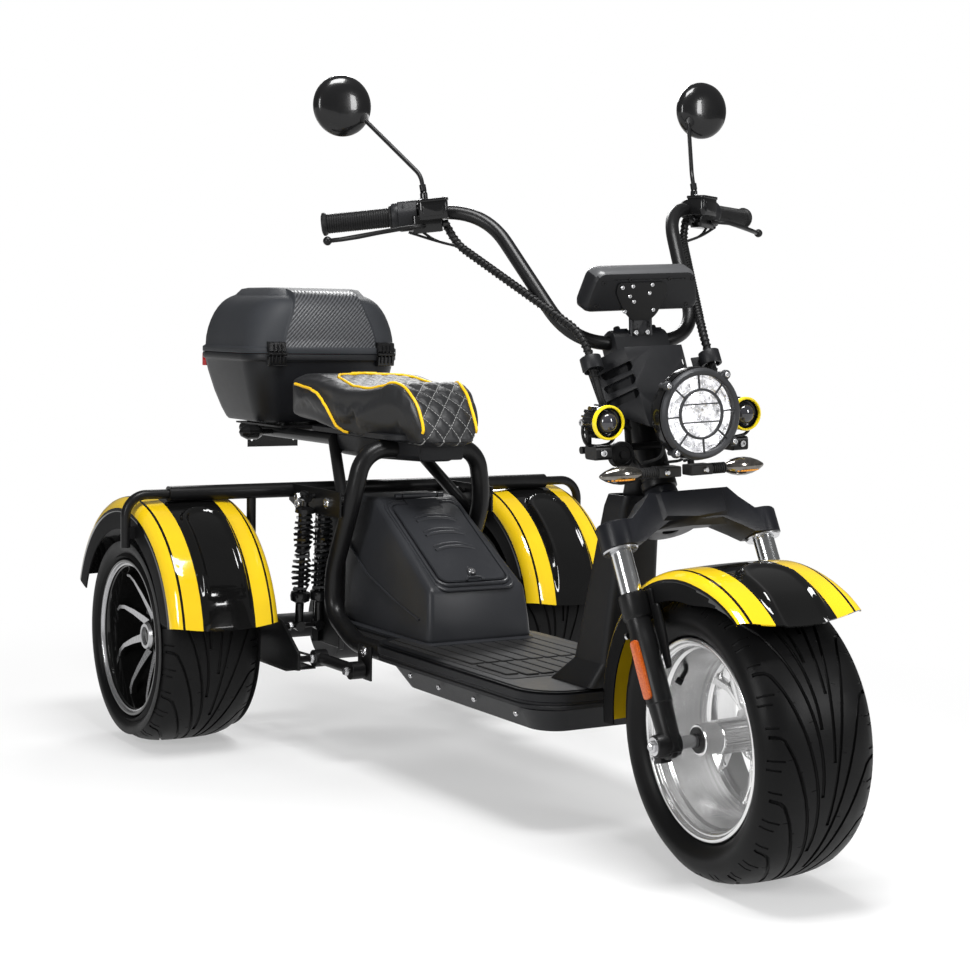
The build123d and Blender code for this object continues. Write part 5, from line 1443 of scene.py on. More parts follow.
# %% Fog lamps
RING_YELLOW = speckled("ring yellow", (0.92, 0.66, 0.01), 0.28, 0.06, 60, Coat_Weight=0.4)
PROJECTOR = Finish("projector glass", Roughness=0.04, Coat_Weight=0.6)
depth = PROJECTOR.noise(30.0, 2.0)
PROJECTOR.set("Base Color", PROJECTOR.mix(depth, (0.01, 0.01, 0.013), (0.05, 0.05, 0.06)))
halo = turned("fog lamp halo", [(0.0246, -0.006), (0.0246, -0.002), (0.0256, 0.0), (0.028, 0.0),
    (0.0292, -0.003), (0.0292, -0.008), (0.0246, -0.006)], axis="X", steps=56)
body = turned("fog lamp body", [(0.0, -0.068), (0.014, -0.067), (0.02, -0.06), (0.0215, -0.05),
    (0.0215, -0.02), (0.0285, -0.014), (0.029, -0.007), (0.024, -0.004), (0.0225, -0.009),
    (0.0185, -0.011), (0.018, -0.014)], axis="X", steps=48)
fin = slab("fin", "Y", -0.0009, 0.0018, [(-0.018, 0.018), (-0.02, 0.0285), (-0.05, 0.029),
    (-0.058, 0.024), (-0.06, 0.014)])
body = join("fog lamp body", [body, around(fin, 16, "X")])
ball = turned("fog lamp ball", [(0.0185, -0.012), (0.017, -0.004), (0.013, 0.0015),
    (0.007, 0.0045), (0.0, 0.0055)], axis="X", steps=40)
yoke = tube("yoke", [(-0.036, -0.031, 0.0), (-0.036, -0.033, -0.02), (-0.04, -0.024, -0.038),
    (-0.042, 0.0, -0.042), (-0.04, 0.024, -0.038), (-0.036, 0.033, -0.02),
    (-0.036, 0.031, 0.0)], 0.0032, 0.008, 1)
clamp = slab("clamp", "Y", -0.015, 0.03, [(-0.062, -0.064), (-0.02, -0.064), (-0.02, -0.04),
    (-0.062, -0.04)], 0.006)
yoke = soften(join("fog lamp yoke", [yoke, clamp]), 0.001, 1)
star = bolts("star", [((-0.02, -0.002, -0.052), (1, 0, 0)),
    ((-0.036, -0.0325, 0.0), (0, -1, 0))], 0.0062, 0.004, 8)


def lamp_pair(title, right_seat, left_seat, pieces):
    """Keeps each piece of a lamp on the right, joined to its mirror image on the left."""
    for name, piece, finish, gone in pieces:
        pair = [copy_of(piece, right_seat), copy_of(piece, left_seat @ MIRROR)]
        bpy.data.objects.remove(piece)
        keep(join(f"{title} {name}", pair), "steering", "lamp_black", replaces=gone,
            finish=finish)


lamp_pair("fog lamp", *(LEVEL @ at(-0.1237, y, 0.505) for y in (-0.135, 0.135)),
    (("rings", halo, RING_YELLOW, []), ("bodies", body, FINISHES["lamp_black"], ["fog_lights"]),
    ("lenses", ball, PROJECTOR, []), ("yokes", yoke, FINISHES["frame_black"], []),
    ("bolts", star, ZINC, [])))

# %% [markdown]
# The front turn signals are slim pointed bodies of smoked chrome with a row of amber
# diodes, on ribbed rubber stalks. The bodies and stalks are spun outlines. The diodes
# are small plates, set in a row that follows the lower front of each body.

# %% Front turn signals
smoke = Finish("smoked chrome", Metallic=0.9, Roughness=0.12)
# A noise swings the chrome's colour between dark and light: painted reflection streaks.
painted_reflection_streaks = smoke.noise(70.0, 2.0)
smoke.set("Base Color", smoke.mix(painted_reflection_streaks, (0.05, 0.045, 0.04), (0.36, 0.34, 0.31)))
amber = speckled("amber diodes", (0.85, 0.33, 0.03), 0.25, 0.05, 80, Coat_Weight=0.3)
bullet = turned("turn signal", [(0.0, -0.166), (0.003, -0.163), (0.0075, -0.154),
    (0.0112, -0.142), (0.013, -0.13), (0.0128, -0.118), (0.0105, -0.106), (0.0075, -0.098),
    (0.006, -0.095)], steps=32)
diode = slab("diode", "X", 0.0, 0.0125, [(-0.1535, -0.0006), (-0.1495, -0.0006),
    (-0.1495, 0.0014), (-0.1535, 0.0014)])
row = []
for k in range(9):
    y = 0.0048 * k
    bulge = 0.006 - 0.00032 * (k - 5) ** 2
    row.append(copy_of(diode, at(bulge - 0.005, y, -0.006)))
bpy.data.objects.remove(diode)
row = join("diodes", row)
for piece in (bullet, row):
    piece.data.transform(at(0, -0.083, 0) @ Matrix.Diagonal((1.22, 1.12, 1.22, 1.0)) @
        at(0, 0.095, 0))
stalk = moved(turned("stalk", [(0.006, -0.096)] + [(r, -0.094 + 0.005 * k + d) for k in range(9)
    for r, d in ((0.0068, 0.0), (0.0084, 0.001), (0.0084, 0.0028), (0.0068, 0.0038))] +
    [(0.0075, -0.048), (0.0075, -0.012)], steps=24), Matrix.Diagonal((1.15, 0.875, 1.15, 1.0)))
cap = moved(turned("bolt cap", [(0.0, 0.005), (0.0035, 0.0048), (0.0056, 0.003), (0.006, 0.0),
    (0.0, 0.0)], axis="X", steps=20), at(0.0115, -0.038, 0.0))
block = slab("block", "Y", -0.052, 0.042, [(-0.02, -0.009), (0.012, -0.009), (0.012, 0.009),
    (-0.02, 0.009)], 0.003)
soften(block, 0.001, 1)
seat_at = FORK @ at(0.086, 0, 0.4243) @ Matrix.Rotation(RAKE, 4, "Y")
lamp_pair("turn signal", seat_at, seat_at, (("bullets", bullet, smoke, ["front_indicators"]),
    ("diodes", row, amber, []), ("stalks", join("stalk", [stalk, block]),
    FINISHES["mat_rubber"], []), ("caps", cap, ZINC, [])))
print("head dressed with", len(MADE), "pieces so far")

# %% [markdown]
# The ends of the bars share one set of local coordinates: Z runs inwards along the bar
# from its end, X points ahead and Y up. A hand's pieces are drawn once, on the left,
# and mirrored to the right: ribbed grip, flange, switch housing, brake master cylinder
# with its lid, lever with a ball at its end, and the mirror on its bent stem.

# %% Frame of the bar end
END, CORNER = Vector((-0.602, 0.443, 0.852)), Vector((-0.472, 0.19, 0.873))
inward = (CORNER - END).normalized()
ahead = Vector((0, 0, 1)).cross(inward).normalized()
upward = inward.cross(ahead)
BAR_END = LEVEL @ Matrix.Translation(END) @ Matrix(((ahead.x, upward.x, inward.x, 0),
    (ahead.y, upward.y, inward.y, 0), (ahead.z, upward.z, inward.z, 0), (0, 0, 0, 1)))
if BAR_END.to_3x3().determinant() < 0:
    raise SystemExit("the bar end frame is left-handed")
LEFT_SIDE = LEVEL @ MIRROR @ LEVEL.inverted()


def both_hands(name, piece, slot, replaces=(), finish=None, place=None, smooth=32):
    """Places a left-hand piece and its mirror image on the right, as one piece."""
    if place is None:
        place = BAR_END
    left = copy_of(piece, place)
    right_piece = copy_of(piece, LEFT_SIDE @ place)
    bpy.data.objects.remove(piece)
    return keep(join(name, [left, right_piece]), "steering", slot, replaces=replaces,
        finish=finish, smooth=smooth)


# %% Paths
def rounded_path(points, cut, steps=8):
    """A chain with its corners replaced by short curves."""
    points = [Vector(p) for p in points]
    path = [points[0]]
    for before, here, after in zip(points, points[1:], points[2:]):
        reach = min(cut, (before - here).length * 0.48, (after - here).length * 0.48)
        path += easing(here + (before - here).normalized() * reach, here,
            here + (after - here).normalized() * reach, steps)
    return path + [points[-1]]


def helix(name, path, radius, pitch, thick):
    """A thin tube wound round a path."""
    points, travelled, across = [], 0.0, Vector((0.3, 0.9, 0.2))
    for here, there in zip(path, path[1:]):
        run = there - here
        count = max(1, int(run.length / (pitch / 8)))
        way = run.normalized()
        across = (across - way * across.dot(way)).normalized()
        for k in range(count):
            turn = 2 * pi * (travelled + run.length * k / count) / pitch
            points.append(here + run * (k / count) + across * (radius * cos(turn)) +
                way.cross(across) * (radius * sin(turn)))
        travelled += run.length
    return tube(name, points, thick, sides=0)


# %% Grips and housings
ribs = [(0.0, -0.005), (0.016, -0.005), (0.0205, -0.003), (0.021, 0.001), (0.019, 0.004)]
for k in range(26):
    z = 0.006 + 0.0042 * k
    ribs += [(0.0166, z), (0.0174, z + 0.0008), (0.0174, z + 0.003), (0.0166, z + 0.0038)]
ribs += [(0.0165, 0.116), (0.0205, 0.1175), (0.021, 0.1205), (0.0195, 0.1225), (0.0, 0.1225)]
grip = turned("grips", ribs, axis="Z", steps=40)
GRIP_RUBBER = speckled("grip rubber", (0.0028, 0.0028, 0.003), 0.48, 0.1, 70, 700, 0.0002)
both_hands("grips", grip, "mat_rubber", ["grips"], GRIP_RUBBER)
perch = turned("perch", [(0.0125, 0.162), (0.018, 0.162), (0.019, 0.164), (0.019, 0.21),
    (0.018, 0.212), (0.0125, 0.212)], axis="Z", steps=32)
neck = slab("neck", "Y", -0.034, 0.032, [(0.004, 0.15), (0.03, 0.16), (0.032, 0.212),
    (0.004, 0.206)], 0.004)
tank = slab("tank", "Y", -0.012, 0.033, [(0.006, 0.172), (0.044, 0.172), (0.044, 0.224),
    (0.006, 0.224)], 0.007)
cover = slab("cover", "Y", 0.0195, 0.005, [(0.0045, 0.1705), (0.0455, 0.1705), (0.0455, 0.2255),
    (0.0045, 0.2255)], 0.008)
window = slab("window", "X", 0.0435, 0.0018, [(-0.006, 0.18), (0.013, 0.18), (0.013, 0.216),
    (-0.006, 0.216)], 0.003)
sleeve = moved(turned("sleeve", [(0.0, 0.0), (0.0075, 0.0), (0.008, 0.004), (0.0068, 0.006),
    (0.0068, 0.017), (0.0052, 0.021), (0.0, 0.022)], axis="Z", steps=12),
    at(-0.003, 0.0189, 0.182) @ about("X", -90))
banjo = moved(disc("banjo", 0.0065, 0.0, 0.014, "Z", 6), at(0.018, -0.02, 0.208))
cylinder = soften(join("master cylinder", [perch, neck, tank, cover, window, sleeve, banjo]),
    0.0012, 2)
both_hands("master_cylinders", cylinder, "lamp_black", ["brake_levers"], FINISHES["lamp_black"])
screws = bolts("cover screws", [((0.025, 0.0243, 0.177), (0, 1, 0)),
    ((0.025, 0.0243, 0.219), (0, 1, 0)), ((0.024, -0.034, 0.16), (0, -1, 0))], 0.0036, 0.002)
both_hands("cover_screws", screws, "lamp_black", finish=ZINC)
blade = [(0.036, 0.182), (0.048, 0.172), (0.058, 0.15), (0.059, 0.1), (0.0565, 0.06),
    (0.05, 0.03), (0.042, 0.008), (0.036, 0.006), (0.043, 0.032), (0.049, 0.062), (0.051, 0.1),
    (0.049, 0.142), (0.04, 0.16), (0.03, 0.17)]
lever = plate("lever", [(x, -0.004, z) for x, z in blade], (0, 0.008, 0))
for vertex in lever.data.vertices:
    vertex.co.y += -0.022 - 0.009 * smooth_step(vertex.co.z, 0.16, 0.03)
soften(lever, 0.0022, 2)
knob = moved(turned("knob", [(0.0, -0.0082), (0.0042, -0.007), (0.0074, -0.0036), (0.0082, 0.0),
    (0.0074, 0.0036), (0.0042, 0.007), (0.0, 0.0082)], axis="Z", steps=24),
    at(0.04, -0.031, 0.006))
both_hands("levers", join("levers", [lever, knob]), "slider_black", smooth=50)
button = moved(turned("button", [(0.0, 0.0), (0.0048, 0.0), (0.0048, 0.003), (0.004, 0.004),
    (0.0, 0.004)], axis="Z", steps=20), at(-0.004, 0.02, 0.144) @ about("X", -90))
RED_BUTTON = speckled("button red", (0.5, 0.015, 0.012), 0.35, 0.05, 70)
both_hands("buttons", button, "moulded_plastic", finish=RED_BUTTON)
rocker = slab("rocker", "X", -0.022, -0.003, [(-0.006, 0.134), (0.008, 0.134), (0.008, 0.154),
    (-0.006, 0.154)], 0.003)
housing = turned("housing", [(0.013, 0.121), (0.0235, 0.122), (0.025, 0.126), (0.025, 0.134),
    (0.023, 0.14), (0.013, 0.141)], axis="Z", steps=36)
block = slab("block", "Z", 0.134, 0.034, [(-0.022, -0.027), (0.024, -0.027), (0.028, 0.004),
    (0.014, 0.026), (-0.016, 0.026), (-0.025, 0.004)], 0.006)
seam = slab("seam", "Z", 0.1435, 0.0012, [(-0.021, -0.021), (0.023, -0.021), (0.023, 0.021),
    (-0.021, 0.021)])
both_hands("rockers", soften(join("rockers", [rocker, housing, seam, block]), 0.0008, 1),
    "moulded_plastic", ["switch_pods"])
bend_line = [END, CORNER, Vector((-0.267, 0.124, 0.63))]
bend_line += [Vector((p.x, -p.y, p.z)) for p in reversed(bend_line)]
bar = tube("handlebar", rounded_path(bend_line, 0.085, 14), 0.0125, sides=6)
keep(bar, "steering", "frame_black", LEVEL, ["handlebar"], smooth=60)

# %% [markdown]
# The mirrors are shallow domes with flat glass towards the rider. The stem is a bent
# wire with a thicker sleeve at its foot.

# %% Mirrors
dome = turned("dome", [(0.047, -0.01), (0.0525, -0.0112), (0.0548, -0.008), (0.0552, -0.002),
    (0.0535, 0.004), (0.047, 0.01), (0.036, 0.0145), (0.02, 0.0172), (0.0, 0.018)], axis="X",
    steps=56)
glass = turned("mirror glass", [(0.0, -0.0098), (0.048, -0.0098)], axis="X", steps=48)
lobe = moved(turned("lobe", [(0.0, 0.013), (0.009, 0.0125), (0.01, 0.01), (0.008, -0.004),
    (0.0, -0.006)], axis="X", steps=24), at(0.002, -0.036, -0.022))
shells = join("mirror shells", [dome, lobe])
head_at = LEVEL @ at(-0.648, 0.382, 1.066)
both_hands("mirror_shells", shells, "lamp_black", ["mirrors"], place=head_at, smooth=50)
silver = speckled("mirror silver", (0.9, 0.9, 0.91), 0.03, 0.01, 20, Metallic=1.0)
both_hands("mirror_glass", glass, "lamp_black", finish=silver, place=head_at)
root = BAR_END @ Vector((-0.003, 0.04, 0.182))
knee = BAR_END @ Vector((-0.01, 0.069, 0.18))
tip = head_at @ Vector((0.006, -0.036, -0.022))
stem = tube("stem", rounded_path([root, knee, tip], 0.014), 0.004)
foot = tube("foot", [root, root.lerp(knee, 0.4)], 0.0062)
both_hands("mirror_stems", join("stems", [stem, foot]), "slider_black", place=Matrix(),
    smooth=40)

# %% [markdown]
# The looms that leave the switches are wrapped in a spiral of plastic strip. The tube is
# swept first, then a thin tube follows it as a helix. Each loom ends in a strap loop
# of the head shield, and a plain cable carries on from there.

# %% Cable looms
local = [(0.0, -0.0201, 0.215), (0.006, -0.06, 0.233)]
course = [BAR_END @ Vector(p) for p in local]
ring_at = FORK @ Vector((0.082, 0.118, 0.63))
axis_way = (FORK.to_3x3() @ Vector((0, 0, 1))).normalized()
course += [ring_at + axis_way * 0.055, ring_at - axis_way * 0.03]
path = rounded_path(course, 0.09)
print("loom length", round(sum((b - a).length for a, b in zip(path, path[1:])), 3), "m")
core = tube("core", path, 0.0066)
wrap = helix("wrap", path, 0.0068, 0.0095, 0.0019)
tail = tube("tail", rounded_path([path[-1], path[-1] - axis_way * 0.05,
    FORK @ Vector((0.05, 0.06, 0.52))], 0.03), 0.006)
feeds = [tube("feed", rounded_path([BAR_END @ Vector(p) for p in (first, (0.024, -0.05, 0.196),
    (0.01, -0.064, 0.236), (0.006, -0.076, 0.246))], 0.035), 0.0026, sides=1)
    for first in ((0.026, -0.03, 0.15), (0.022, -0.03, 0.172))]
both_hands("looms", join("looms", [core, wrap, tail] + feeds), "mat_rubber", ["cable_looms"],
    GRIP_RUBBER, Matrix(), 60)

# %% [markdown]
# The lower fork crown is one casting: two round clamps hold the fork tubes, and arms
# rise from them to a thick middle with a raised front. Seen from the front it makes an
# arch over the fender. The clamps are spun, and the bridge is an outline drawn across
# the fork, pushed back along it. A Boolean union makes one solid before its edges are
# rounded.

# %% Fork crown
half_arch = [(0.15, 0.347), (0.12, 0.348), (0.094, 0.37), (0.077, 0.389)]
half_under = [(0.052, 0.337), (0.086, 0.319), (0.108, 0.306), (0.15, 0.305)]
arch = half_arch + [(-v, w) for v, w in reversed(half_arch)]
arch += [(-v, w) for v, w in reversed(half_under)] + half_under
crown = plate("fork crown", [(0.034, v, w) for v, w in arch], (0.052, 0, 0))
bulge = rings_to_skin("bulge", [[(0.07, v, w) for v, w in ((0.074, 0.388), (0.074, 0.328),
    (0.0, 0.331), (-0.074, 0.328), (-0.074, 0.388), (0.0, 0.388))],
    [(0.094, v, w) for v, w in ((0.06, 0.384), (0.058, 0.344), (0.0, 0.339), (-0.058, 0.344),
    (-0.06, 0.384), (0.0, 0.384))]])
hub = turned("hub", [(0.0158, 0.348), (0.044, 0.348), (0.049, 0.353), (0.049, 0.386),
    (0.046, 0.3885), (0.035, 0.3885), (0.0335, 0.391), (0.0335, 0.408), (0.03, 0.411),
    (0.028, 0.4225), (0.0158, 0.4225), (0.0158, 0.348)], axis="Z", steps=48)
parts = [bulge, hub]
for side in (-1, 1):
    clamp = moved(turned("clamp", [(0.0182, 0.3035), (0.03, 0.3035), (0.0318, 0.3055),
        (0.0318, 0.346), (0.0296, 0.349), (0.02, 0.35), (0.0182, 0.35), (0.0182, 0.3035)],
        axis="Z", steps=48), at(0.056, side * 0.14, 0))
    parts.append(clamp)
for piece in parts:
    boolean(crown, piece, "UNION")
for x, y in ((0.056, -0.14), (0.056, 0.14), (0.0, 0.0)):
    bore = disc("bore", 0.0181 if x else 0.0155, 0.29, 0.43, "Z", 40)
    boolean(crown, moved(bore, at(x, y, 0)))
edit(crown)
bpy.ops.mesh.dissolve_limited(angle_limit=radians(1.5))
close()
soften(crown, 0.004, 3, 24)
keep(crown, "steering", "crown_grey", FORK, ["fork_crown"], smooth=34)
seals = []
for side in (-1, 1):
    seal = moved(turned("seal", [(0.0185, 0.3005), (0.029, 0.3005), (0.03, 0.3035),
        (0.0185, 0.3035), (0.0185, 0.3005)], axis="Z", steps=40), at(0.056, side * 0.14, 0))
    seals.append(seal)
keep(join("crown seals", seals), "steering", "crown_grey", FORK, finish=ZINC)
pinch = bolts("crown bolts", [((0.03, side * 0.12, 0.3265), (-1, 0, 0)) for side in (-1, 1)],
    0.006, 0.005)
keep(pinch, "steering", "crown_grey", FORK, finish=ZINC)

# %% [markdown]
# Each lower leg is a cast tube with a dust collar at the top, a long plain barrel, and
# a clamp with a cross bolt for the axle. An amber reflector is glued to its outer side.
# Flat brackets bolt the fender to the legs. One leg is spun and copied to the other
# side.

# %% Lower legs
FRONT_AXLE_AT = at(0.0535, 0, -0.0272)
leg = moved(turned("lower legs", [(0.0184, 0.226), (0.0226, 0.226), (0.024, 0.224),
    (0.0242, 0.186), (0.0228, 0.1835), (0.021, 0.182), (0.0205, 0.156), (0.0215, 0.153),
    (0.0215, 0.04), (0.02, 0.038), (0.019, 0.01), (0.018, -0.03), (0.015, -0.044),
    (0.0, -0.046)], axis="Z", steps=44), at(0.056, -0.14, 0))
boss = moved(turned("boss", [(0.0, -0.169), (0.0165, -0.169), (0.018, -0.1675), (0.02, -0.156),
    (0.02, -0.127), (0.016, -0.125), (0.0, -0.125)], steps=40), FRONT_AXLE_AT)
lug = slab("lug", "Y", -0.15, 0.02, [(0.03, -0.052), (0.006, -0.046), (0.006, -0.03),
    (0.034, -0.018)], 0.006)
cheek = moved(slab("cheek", "Y", -0.1325, 0.011, [(0.04, 0.112), (0.064, 0.112), (0.074, 0.02),
    (0.078, -0.03), (0.062, -0.052), (0.036, -0.048), (0.03, -0.02), (0.034, 0.03)], 0.008),
    at(0, -0.015, 0))
stay = slab("stay", "Y", -0.124, 0.005, [(0.076, 0.2), (0.098, 0.196), (0.1, 0.15),
    (0.088, 0.09), (0.074, 0.09), (0.074, 0.16)], 0.006)
bracket = slab("bracket", "Y", -0.1215, 0.0042, [(0.036, 0.196), (0.082, 0.186), (0.086, 0.226),
    (0.04, 0.23)], 0.005)
side_leg = join("lower legs", [leg, soften(join("fittings", [boss, lug, cheek, stay, bracket]),
    0.0012, 2, 35)])
axle = moved(turned("axle", [(0.0, -0.17), (0.008, -0.17), (0.008, -0.126), (0.0105, -0.125),
    (0.0105, -0.091), (0.008, -0.09), (0.008, 0.09), (0.0105, 0.091), (0.0105, 0.125),
    (0.008, 0.126), (0.008, 0.17), (0.0, 0.17)], steps=32), FRONT_AXLE_AT)
other = copy_of(side_leg, MIRROR)
keep(axle, "steering", "fork_chrome", FORK, finish=ZINC)
keep(join("lower legs", [side_leg, other]), "steering", "slider_black", FORK, ["fork_sliders"],
    smooth=34)
nut = turned("axle nuts", [(0.0, -0.179), (0.005, -0.179), (0.0056, -0.178), (0.0056, -0.1752),
    (0.0092, -0.175), (0.0104, -0.1735), (0.0104, -0.1705), (0.0, -0.1705)], steps=6)
washer = turned("washer", [(0.0, -0.1706), (0.015, -0.1706), (0.015, -0.169), (0.0, -0.169)],
    steps=36)
nut = join("axle nuts", [nut, washer])
nut.data.transform(FRONT_AXLE_AT)
small = bolts("small", [((0.068, -0.1257, 0.206), (0, -1, 0)),
    ((0.066, -0.1215, 0.206), (0, 1, 0)), ((0.012, -0.1502, -0.038), (0, -1, 0)),
    ((0.03, -0.152, 0.164), (-1, -0.3, 0))], 0.0052, 0.004)
nuts = join("axle nuts", [nut, small])
other = copy_of(nuts, MIRROR)
keep(join("axle nuts", [nuts, other]), "steering", "slider_black", FORK, finish=ZINC)
AMBER_GLASS = Finish("amber reflector", Roughness=0.12, Coat_Weight=0.5)
prism = AMBER_GLASS.cells(420.0)
AMBER_GLASS.set("Base Color", AMBER_GLASS.mix(prism, (0.36, 0.045, 0.005), (0.6, 0.13, 0.014)))
AMBER_GLASS.bump(prism, 0.5, 0.0006)
strips = []
for side in (-1, 1):
    turn_out = at(0.056, side * 0.14, 0) @ Matrix.Rotation(side * radians(-16), 4, "Z")
    outline = [(-0.008, 0.0, 0.048), (0.008, 0.0, 0.048), (0.0088, 0.0, 0.1),
        (0.008, 0.0, 0.147), (-0.008, 0.0, 0.147), (-0.0088, 0.0, 0.1)]
    strip = moved(plate("strip", [(x, side * 0.02, z) for x, _, z in round_outline(outline,
        0.006)], (0, side * 0.0065, 0)), turn_out)
    strips.append(soften(strip, 0.0015, 2))
keep(join("fork reflectors", strips), "steering", "slider_black", FORK, finish=AMBER_GLASS)

# %% [markdown]
# The head tube, the race covers and the bar clamp fill the space between the yokes. The
# clamp block holds the bars with four bolts.

# %% Bar clamp and lamp stay
cover = turned("race covers", [(0.0275, 0.424), (0.031, 0.426), (0.031, 0.437), (0.028, 0.441),
    (0.0275, 0.441)], axis="Z", steps=40)
high_cover = copy_of(cover, at(0, 0, 0.176))
keep(join("race covers", [cover, high_cover]), "vehicle", "frame_black",
    Matrix.Translation(FOOT) @ Matrix.Rotation(-RAKE, 4, "Y"), finish=FINISHES["slider_black"])
block = slab("clamp block", "Y", -0.054, 0.108, [(0.02, 0.65), (0.07, 0.65), (0.072, 0.69),
    (0.06, 0.704), (0.034, 0.704), (0.02, 0.692)], 0.008)
soften(block, 0.003, 2)
keep(block, "steering", "slider_black", FORK, finish=FINISHES["moulded_plastic"])
caps = bolts("clamp bolts", [((u, v, 0.703), (0, 0, 1)) for u in (0.038, 0.057)
    for v in (-0.036, 0.036)], 0.006, 0.006)
keep(caps, "steering", "slider_black", FORK, finish=STEEL_DARK)
cross = tube("lamp stay", [(-0.199, -0.15, 0.455), (-0.199, 0.15, 0.455)], 0.0065)
down = [tube("down", [(-0.199, side * 0.06, 0.516), (-0.192, side * 0.06, 0.44),
    (-0.166, side * 0.048, 0.412)], 0.006, 0.01) for side in (-1, 1)]
hang = [tube("hang", [(-0.199, side * 0.1349, 0.505), (-0.199, side * 0.1349, 0.455)], 0.0055)
    for side in (-1, 1)]
horn = moved(turned("horn", [(0.0, -0.03), (0.02, -0.03), (0.028, -0.024), (0.029, -0.01),
    (0.027, -0.006), (0.02, -0.004), (0.019, -0.007), (0.008, -0.007), (0.007, -0.002),
    (0.0, -0.002)], axis="X", steps=36), at(-0.165, -0.085, 0.445) @ Matrix.Scale(0.8, 4))
keep(join("lamp stay", [cross, horn] + down + hang), "steering", "lamp_black", LEVEL,
    finish=FINISHES["slider_black"])
wire = []
for y, sag in ((-0.02, 0.012), (0.004, 0.02), (0.024, 0.01)):
    path = rounded_path([(-0.15, y, 0.5), (-0.13 + sag, y * 1.6, 0.455 - sag),
        (-0.19, y * 2.0, 0.425)], 0.05)
    wire.append(tube("wire", path, 0.0028, sides=1))
keep(join("lamp wires", wire), "steering", "lamp_black", LEVEL, finish=FINISHES["mat_rubber"])

# %% [markdown]
# The pedestal is a moulded box that tapers upwards, with a sloping top that carries the
# lid. It is hollow, so that the battery shows when the lid is up. The outer form is an
# extruded outline, tapered and rounded; a smaller copy is cut out of it, and then the
# opening. A tube round the opening makes the rolled rim that the lid sits in.

# %% Pedestal
def pedestal_form(inset, bevel):
    """The outer form of the pedestal, or a smaller copy to hollow it with."""
    outline = [(-0.44 + inset, 0.26), (-0.032 - inset, 0.26), (-0.037 - inset, 0.31),
        (-0.048 - inset, 0.37 - inset), (-0.306, 0.531 - inset * 1.3),
        (-0.425 + inset, 0.531 - inset * 1.3)]
    form = plate("pedestal", [(x, -0.122 + inset, z) for x, z in outline],
        (0, 0.244 - 2 * inset, 0))
    for vertex in form.data.vertices:
        share = (vertex.co.z - 0.26) / 0.271
        vertex.co.y *= 1.0 - 0.205 * share
    return soften(form, bevel, 3, 20)


pedestal = pedestal_form(0.0, 0.013)
inner = pedestal_form(0.004, 0.01)
inner.data.transform(at(0, 0, -0.004))
boolean(pedestal, inner)
SLOPE = at(-0.048, 0, 0.37) @ Matrix(((-0.848, 0, 0.529, 0), (0, -1, 0, 0),
    (0.529, 0, 0.848, 0), (0, 0, 0, 1)))
mouth = moved(plate("mouth", [tuple(p) for p in rounded_ring(0.03, 0.262, 0.064, 0.018, -0.03)],
    (0, 0, 0.06)), SLOPE)
boolean(pedestal, mouth)
rim = tube("rim", rounded_ring(0.0095, 0.279, 0.0835, 0.024, 0.001)[:-1], 0.0042, sides=2,
    closed=True)
step = tube("step", rounded_ring(-0.004, 0.289, 0.089, 0.024, -0.001)[:-1], 0.003, sides=2,
    closed=True)
for piece in (rim, step):
    piece.data.transform(SLOPE)
foot = rings_to_skin("foot", [rounded_ring(*row) for row in ((-0.446, -0.0235, 0.13, 0.026,
    0.2598), (-0.446, -0.0235, 0.13, 0.026, 0.2635), (-0.442, -0.028, 0.1255, 0.024, 0.2665),
    (-0.43, -0.04, 0.11, 0.02, 0.267))])
crease = []
for side in (-1, 1):
    crease.append(tube("crease", [(-0.41, side * 0.1085, 0.43), (-0.31, side * 0.113, 0.372),
        (-0.17, side * 0.1175, 0.33), (-0.075, side * 0.1195, 0.308)], 0.002, 0.02, 1))
PIN_X, PIN_Z = -0.294882, 0.533492
lugs = []
for y in (-0.05, 0.05):
    lugs.append(moved(disc("lug", 0.005, -0.007, 0.007, steps=20), at(PIN_X, y, PIN_Z)))
pin = moved(disc("pin", 0.002, -0.057, 0.057, steps=12), at(PIN_X, 0, PIN_Z))
PEDESTAL = speckled("pedestal plastic", (0.02, 0.021, 0.024), 0.36, 0.08, 70, 1500, 0.0002)
keep(join("pedestal", [pedestal, rim, step, foot, pin] + crease + lugs), "vehicle",
    "moulded_plastic", replaces=["pedestal_box"], smooth=34, finish=PEDESTAL)

# %% Pedestal lid
cover = rings_to_skin("pedestal lid panel", [rounded_ring(*row)
    for row in ((0.0165, 0.272, 0.076, 0.02, 0.0012), (0.016, 0.272, 0.0765, 0.02, 0.0045),
    (0.018, 0.27, 0.0745, 0.019, 0.0058), (0.026, 0.262, 0.0665, 0.016, 0.0058),
    (0.028, 0.26, 0.0645, 0.015, 0.0034), (0.032, 0.256, 0.0605, 0.014, 0.0034),
    (0.038, 0.25, 0.055, 0.013, 0.0068), (0.052, 0.236, 0.042, 0.012, 0.0088),
    (0.07, 0.218, 0.026, 0.01, 0.0094))])
for s in (0.112, 0.16, 0.208):
    for shift in (0.0, 0.012):
        chain = [(s + shift + 0.008 * (1 - (y / 0.046) ** 2), y,
            0.0052 + 0.0034 * (1 - (abs(y) / 0.05) ** 4))
            for y in [0.046 * (k / 6 - 1) for k in range(13)]]
        louvre = tube("louvre", chain, 0.0048 if not shift else 0.0036, sides=3)
        cover = join("pedestal lid panel", [cover, louvre])
lift_lip = tube("lift", rounded_path([(0.0165, -0.02, 0.0055), (0.023, -0.016, 0.0075),
    (0.023, 0.016, 0.0075), (0.0165, 0.02, 0.0055)], 0.008), 0.003, sides=2)
tear = slab("tear", "Z", 0.005, 0.0042, [(0.03, -0.01), (0.05, -0.007), (0.058, 0.0),
    (0.05, 0.007), (0.03, 0.01)], 0.006)
